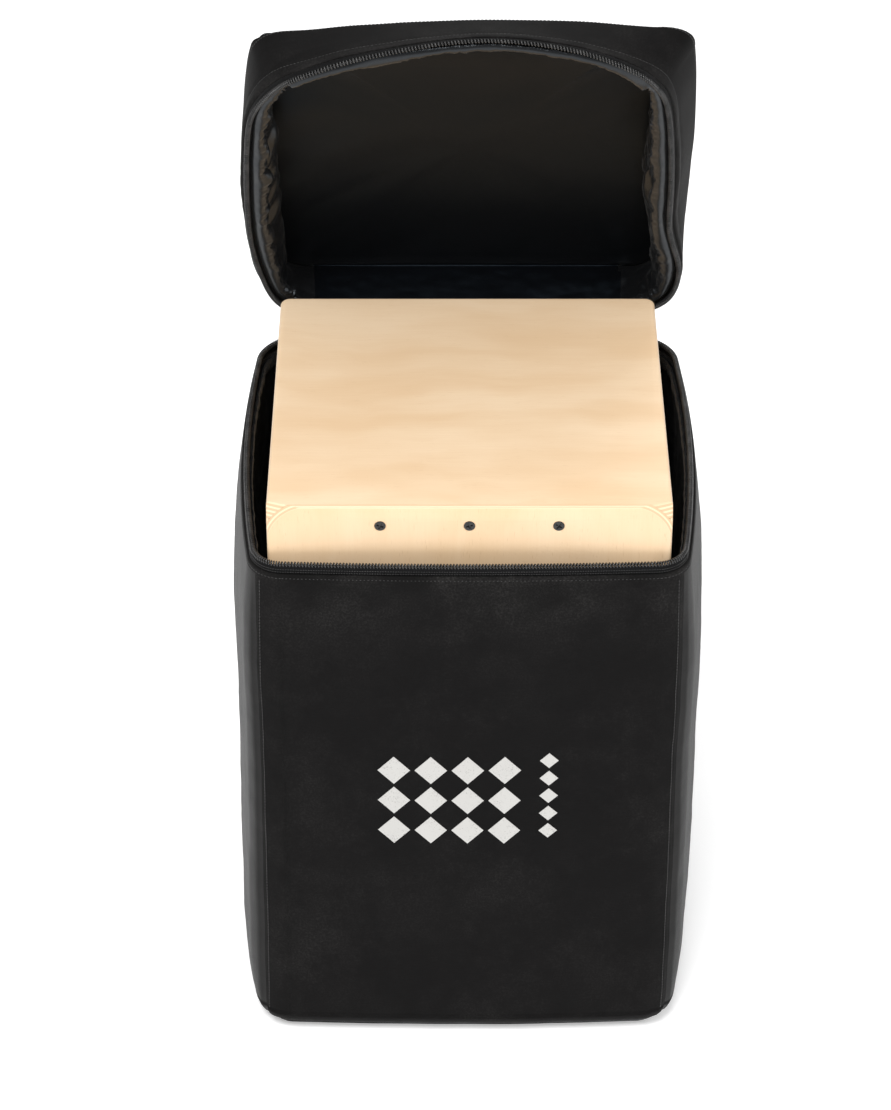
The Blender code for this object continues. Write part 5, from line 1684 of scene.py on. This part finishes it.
@dataclass
class Sliders:
    """The two zip sliders parked at the back, each with its hanging pull."""

    finishes: Finishes

    def build_slider(self, label: str) -> None:
        """One slider: a block with eased edges and two slots cut through it."""
        low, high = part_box(f"zip_slider_{label}")
        centre = [(a + b) / 2 for a, b in zip(low, high)]
        body = block(low, high)
        bevel_edges(body, 1.8 * MM, 4, lambda a, b: abs(a.y - b.y) > 2 * MM)
        for k in (-1, 1):
            notch = block(
                (low[0] - 0.01, centre[1] - 0.7 * MM, centre[2] + k * 2.4 * MM - 1.6 * MM),
                (high[0] + 0.01, centre[1] + 0.7 * MM, centre[2] + k * 2.4 * MM + 1.6 * MM),
            )
            combine(body, notch, "DIFFERENCE")
        soften(body, 0.4 * MM)
        body.name = body.data.name = f"slider_body_{label}"
        dress(body, self.finishes.metal)
        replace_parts(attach(body, f"slider_{label}"), f"zip_slider_{label}")

    def build_pull(self, label: str, side: int) -> None:
        """One pull: a flat tongue that widens to a rounded end, with a hole."""
        low, high = (Vector(v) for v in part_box(f"zip_pull_{label}"))
        middle = (low + high) / 2
        pull = block(low, high)
        stem = low.x if side > 0 else high.x
        for vertex in pull.data.vertices:
            if abs(vertex.co.x - stem) < 1e-5:
                vertex.co.z = middle.z + (vertex.co.z - middle.z) * 0.7
        bevel_edges(pull, 2.2 * MM, 5, lambda a, b: abs(a.y - b.y) > 0.5 * MM)
        deselect()
        hole_x = (high.x if side > 0 else low.x) - side * 6 * MM
        bpy.ops.mesh.primitive_cylinder_add(
            vertices=24, radius=1.7 * MM, depth=0.02,
            location=(hole_x, middle.y, middle.z), rotation=(math.pi / 2, 0, 0),
        )
        combine(pull, settle(bpy.context.object, "hole"), "DIFFERENCE")
        soften(pull, 0.3 * MM)
        pull.name = pull.data.name = f"pull_tongue_{label}"
        dress(pull, self.finishes.metal)
        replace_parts(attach(pull, f"pull_{label}"), f"zip_pull_{label}")

    def build(self) -> None:
        """Build both sliders and pulls."""
        for label, side in (("left", 1), ("right", -1)):
            self.build_slider(label)
            self.build_pull(label, side)
        LOG.info("sliders and pulls")


# ------------------------------------------------------------------ the drum


@dataclass
class Drum:
    """The box drum: birch boards with eased edges, corner battens, screws, snares and feet."""

    finishes: Finishes
    front: float = -0.15325
    joint: float = -0.14995  # where the seat, sides and bottom meet the playing board
    back: float = 0.14675
    half: float = 0.150
    bottom: float = 0.0185
    top: float = 0.5055
    seat: float = 0.012
    tapa: float = 0.003
    edge_radius: float = 0.003
    rear_radius: float = 0.008
    corner_arc: float = 0.032
    corner_depth: float = 0.009
    hole_radius: float = 0.0575
    hole_height: float = 0.61  # share of the drum's height
    head_radius: float = 4.3 * MM
    shank_radius: float = 1.9 * MM
    shank_length: float = 0.0150

    def envelope(self) -> bpy.types.Object:
        """The drum's outside: one block with its edges rounded and its two top front corners sanded."""
        body = block((-self.half, self.front, self.bottom), (self.half, self.back, self.top), "envelope")
        bevel_edges(body, self.rear_radius, 8, lambda a, b: abs(a.z - b.z) > 0.1 and a.y > 0 and b.y > 0)
        bevel = body.modifiers.new("ease", "BEVEL")
        bevel.width = self.edge_radius
        bevel.segments = 5
        bevel.limit_method = "ANGLE"
        bevel.angle_limit = math.radians(60)
        apply_all(body)
        for side in (-1, 1):
            combine(body, self.corner_cutter(side), "DIFFERENCE")
        return body

    def corner_cutter(self, side: int) -> bpy.types.Object:
        """What is sanded off one corner: a block less a cone that widens towards the back."""
        reach = self.corner_arc + 1 * MM
        centre = Vector((side * (self.half - reach), self.front, self.top - reach))
        widening = (reach * math.sqrt(2) - self.corner_arc) / self.corner_depth
        margin = 2 * MM
        depth = self.corner_depth + 2 * margin
        deselect()
        bpy.ops.mesh.primitive_cone_add(
            vertices=96,
            radius1=self.corner_arc - 2 * margin * widening,
            radius2=self.corner_arc + depth * widening,
            depth=depth + 2 * margin,
            location=centre + Vector((0, (depth - 2 * margin) / 2, 0)),
            rotation=(-math.pi / 2, 0, 0),
        )
        cone = settle(bpy.context.object, "cone")
        far = centre + Vector((side * (reach + 4 * MM), 0.0, reach + 4 * MM))
        low = (min(centre.x, far.x), self.front - margin, centre.z)
        high = (max(centre.x, far.x), self.front + self.corner_depth + margin, far.z)
        cutter = block(low, high, "corner")
        combine(cutter, cone, "DIFFERENCE")
        return cutter

    def board(
        self, name: str, node: str, low: tuple, high: tuple, finish: Birch, skin: bpy.types.Object
    ) -> bpy.types.Object:
        """One board: a slab cut to the drum's outside."""
        slab = block(low, high, name)
        combine(slab, skin, "INTERSECT", keep=True)
        smooth(slab, 32)
        dress(slab, finish.build(self.finishes.groups))
        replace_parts(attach(slab, "drum"), node)
        LOG.info("%s: %d faces", name, len(slab.data.polygons))
        return slab

    def build_boards(self) -> None:
        """Seat, playing board, sides, back and bottom."""
        skin = self.envelope()
        over, gap = 2 * MM, 0.3 * MM
        wide, high, low = self.half + over, self.top + over, self.bottom - over
        deep = self.back + over
        inner = self.half - 0.011
        seat_low, base_high = self.top - self.seat, self.bottom + self.seat
        seat = Birch("birch_seat", Grain.ACROSS, 2, self.top, -1.0, 1.5 * MM)
        self.board("seat_board", "seat_panel", (-wide, self.joint, seat_low), (wide, deep, high), seat, skin)
        base = Birch("birch_base", Grain.ACROSS, 2, self.bottom, 1.0, 1.5 * MM)
        self.board("base_board", "bottom_panel", (-wide, self.joint, low), (wide, deep, base_high), base, skin)
        sides = (("left", -1), ("right", 1))
        for label, side in sides:
            near, far = sorted((side * wide, side * inner))
            finish = Birch(f"birch_{label}", Grain.UPRIGHT, 0, side * self.half, -float(side), 1.4 * MM)
            box_low, box_high = (near, self.joint, base_high + gap), (far, deep, seat_low - gap)
            self.board(f"{label}_board", f"{label}_side_panel", box_low, box_high, finish, skin)
        back = Birch("birch_back", Grain.UPRIGHT, 1, self.back, -1.0, 1.2 * MM)
        reach = inner - gap
        board_low, board_high = (-reach, self.back - 6 * MM, base_high + gap), (reach, deep, seat_low - gap)
        panel = self.board("back_board", "back_panel", board_low, board_high, back, skin)
        self.cut_sound_hole(panel)
        # Painted shade: the playing board takes a darker copy of the birch, offsetting the stronger light on its
        # upright face.
        tapa = Birch(
            "birch_tapa_shaded", Grain.UPRIGHT, 1, self.front, 1.0, 0.75 * MM,
            (0.840, 0.625, 0.410), (0.785, 0.555, 0.335), 0.5,
        )
        corner = (-wide, self.front - over, low)
        opposite = (wide, self.front + self.tapa, high)
        board = self.board("playing_board", "tapa_playing_board", corner, opposite, tapa, skin)
        self.sink_screw_holes(board)
        bpy.data.objects.remove(skin)

    def cut_sound_hole(self, panel: bpy.types.Object) -> None:
        """The round sound hole in the back."""
        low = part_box("back_panel")[0]
        place = (0.0, low[1], self.bottom + (self.top - self.bottom) * self.hole_height)
        deselect()
        bpy.ops.mesh.primitive_cylinder_add(
            vertices=128, radius=self.hole_radius, depth=0.05, location=place, rotation=(math.pi / 2, 0, 0)
        )
        combine(panel, settle(bpy.context.object, "sound_hole"), "DIFFERENCE")
        smooth(panel, 32)

    def screw_places(self) -> dict[str, tuple[float, float]]:
        """Where each screw of the playing board is, from the CAD heads."""
        places = {}
        for row in ("top", "bottom", "left", "right"):
            for k in (1, 2, 3):
                low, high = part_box(f"tapa_screw_{row}_{k}")
                places[f"{row}_{k}"] = ((low[0] + high[0]) / 2, (low[2] + high[2]) / 2)
        return places

    def sink_screw_holes(self, board: bpy.types.Object) -> None:
        """Countersunk holes in the playing board."""
        for x, z in self.screw_places().values():
            deselect()
            bpy.ops.mesh.primitive_cone_add(
                vertices=40, radius1=4.75 * MM, radius2=2.3 * MM, depth=3.2 * MM,
                location=(x, self.front + 1.45 * MM, z), rotation=(-math.pi / 2, 0, 0),
            )
            combine(board, settle(bpy.context.object, "sink"), "DIFFERENCE")
        smooth(board, 32)

    def build_screws(self) -> None:
        """Black countersunk screws: a tapered head with its face edge rounded and a cross recess."""
        deselect()
        bpy.ops.mesh.primitive_cylinder_add(
            vertices=48, radius=self.head_radius, depth=2.2 * MM, rotation=(math.pi / 2, 0, 0)
        )
        head = settle(bpy.context.object, "screw_head")
        for vertex in head.data.vertices:
            if vertex.co.y > 0:
                vertex.co.x *= 0.5
                vertex.co.z *= 0.5
        active(head)
        bevel_edges(head, 0.45 * MM, 3, lambda a, b: a.y < 0 and b.y < 0)
        for turn in (0.35, 0.35 + math.pi / 2):
            deselect()
            bpy.ops.mesh.primitive_cube_add(
                size=1.0, scale=(5.2 * MM, 2.6 * MM, 1.25 * MM), rotation=(0, turn, 0), location=(0, -1.1 * MM, 0)
            )
            arm = settle(bpy.context.object, "recess_arm")
            combine(head, arm, "DIFFERENCE")
        soften(head, 0.14 * MM, 2, 50)
        mesh = head.data
        for number, (label, (x, z)) in enumerate(self.screw_places().items()):
            deselect()
            bpy.ops.mesh.primitive_cylinder_add(
                vertices=16, radius=self.shank_radius, depth=self.shank_length,
                location=(x, self.front + 2.2 * MM + self.shank_length / 2, z), rotation=(math.pi / 2, 0, 0),
            )
            shank = settle(bpy.context.object, f"screw_{label}")
            copy = bpy.data.objects.new("head", mesh.copy())
            bpy.context.scene.collection.objects.link(copy)
            turned = Matrix.Rotation(number * 0.9, 4, "Y")
            copy.data.transform(Matrix.Translation((x, self.front + 1.25 * MM, z)) @ turned)
            deselect()
            copy.select_set(True)
            shank.select_set(True)
            bpy.context.view_layer.objects.active = shank
            bpy.ops.object.join()
            smooth(shank, 40)
            dress(shank, self.finishes.screw)
            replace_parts(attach(shank, "drum"), f"tapa_screw_{label}")
        bpy.data.objects.remove(head)
        LOG.info("playing board screws")

    def dress_nodes(self) -> None:
        """Give the plain pieces that stay their finishes."""
        kinds = {
            "batten": self.finishes.batten, "snare_bar": self.finishes.batten, "snare_wires": self.finishes.steel,
            "foot_screw": self.finishes.screw, "foot": self.finishes.rubber,
        }
        for name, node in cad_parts.items():
            for word, material in kinds.items():
                if word in name:
                    dress(node, material)
                    break

    def build(self) -> None:
        """Build the drum's pieces in order."""
        self.build_boards()
        self.build_screws()
        self.dress_nodes()


# ------------------------------------------------------------------ the studio


@dataclass
class Studio:
    """White floor and background, soft lights and the camera."""

    floor: float = 0.93
    glow: float = 0.36
    world: float = 0.42
    lens: float = 115.6
    camera_place: tuple[float, float, float] = (-0.0177, -2.3196, 1.9796)
    camera_tilt: float = 55.0  # degrees up from straight down

    def build_floor(self) -> None:
        """A wide pale floor."""
        deselect()
        bpy.ops.mesh.primitive_plane_add(size=24.0, location=(0, 0, 0))
        floor = settle(bpy.context.object, "studio_floor")
        glow = {"Emission_Color": (1.0, 1.0, 1.0), "Emission_Strength": self.glow}
        material, nodes, shader = start_material("studio_white", Roughness=0.95, Specular_IOR_Level=0.0, **glow)
        patchy = nodes.cloud(nodes.place(), 0.8, 2.0)
        tone = nodes.ramp(patchy, 0.2, 0.8, self.floor - 0.004, self.floor)
        tint = nodes.add("CombineColor")
        for socket in tint.inputs[:3]:
            nodes.feed(socket, tone)
        nodes.feed(shader.inputs["Base Color"], tint.outputs[0])
        dress(floor, material)

    def build_world(self) -> None:
        """Even white all round."""
        world = bpy.data.worlds.new("studio")
        world.use_nodes = True
        background = world.node_tree.nodes["Background"]
        background.inputs["Color"].default_value = (1.0, 1.0, 1.0, 1.0)
        background.inputs["Strength"].default_value = self.world
        bpy.context.scene.world = world

    def build_light(self, name: str, place: tuple, aim: tuple, size: float, power: float) -> None:
        """A soft square light."""
        data = bpy.data.lights.new(name, "AREA")
        data.shape = "RECTANGLE"
        data.size = data.size_y = size
        data.energy = power
        light = bpy.data.objects.new(name, data)
        light.location = place
        light.rotation_euler = (Vector(aim) - Vector(place)).to_track_quat("-Z", "Y").to_euler()
        bpy.context.scene.collection.objects.link(light)

    def build_camera(self) -> None:
        """A long lens that looks down on the drum from the front."""
        data = bpy.data.cameras.new("camera")
        data.lens = self.lens
        data.sensor_width = 36.0
        data.clip_end = 60.0
        camera = bpy.data.objects.new("camera", data)
        camera.location = self.camera_place
        camera.rotation_euler = (math.radians(self.camera_tilt), 0.0, 0.0)
        bpy.context.scene.collection.objects.link(camera)
        bpy.context.scene.camera = camera

    def build(self) -> None:
        """Set the stage."""
        self.build_floor()
        self.build_world()
        self.build_light("key", (-0.7, -1.9, 3.6), (0, 0.10, 0.48), 1.6, 122.0)
        self.build_light("fill", (1.5, -1.5, 2.0), (0, 0, 0.40), 1.2, 15.0)
        self.build_light("rear", (0.3, 1.5, 2.6), (0, 0.05, 0.50), 1.2, 18.0)
        self.build_camera()
        bpy.context.scene.view_settings.view_transform = "Standard"
        LOG.info("studio")


def main() -> None:
    """Build the scene in order, with its size written down."""
    logging.basicConfig(level=logging.INFO, format="%(name)s: %(message)s")
    finishes = Finishes()
    plan = BagPlan()
    bag = Bag(finishes, plan, BagWall(plan))
    bag.build()
    Lid(finishes, plan, LidWall(plan), bag).build()
    Carrying(finishes, plan, bag).build()
    Sliders(finishes).build()
    Drum(finishes).build()
    Studio().build()


if __name__ == "__main__":
    main()
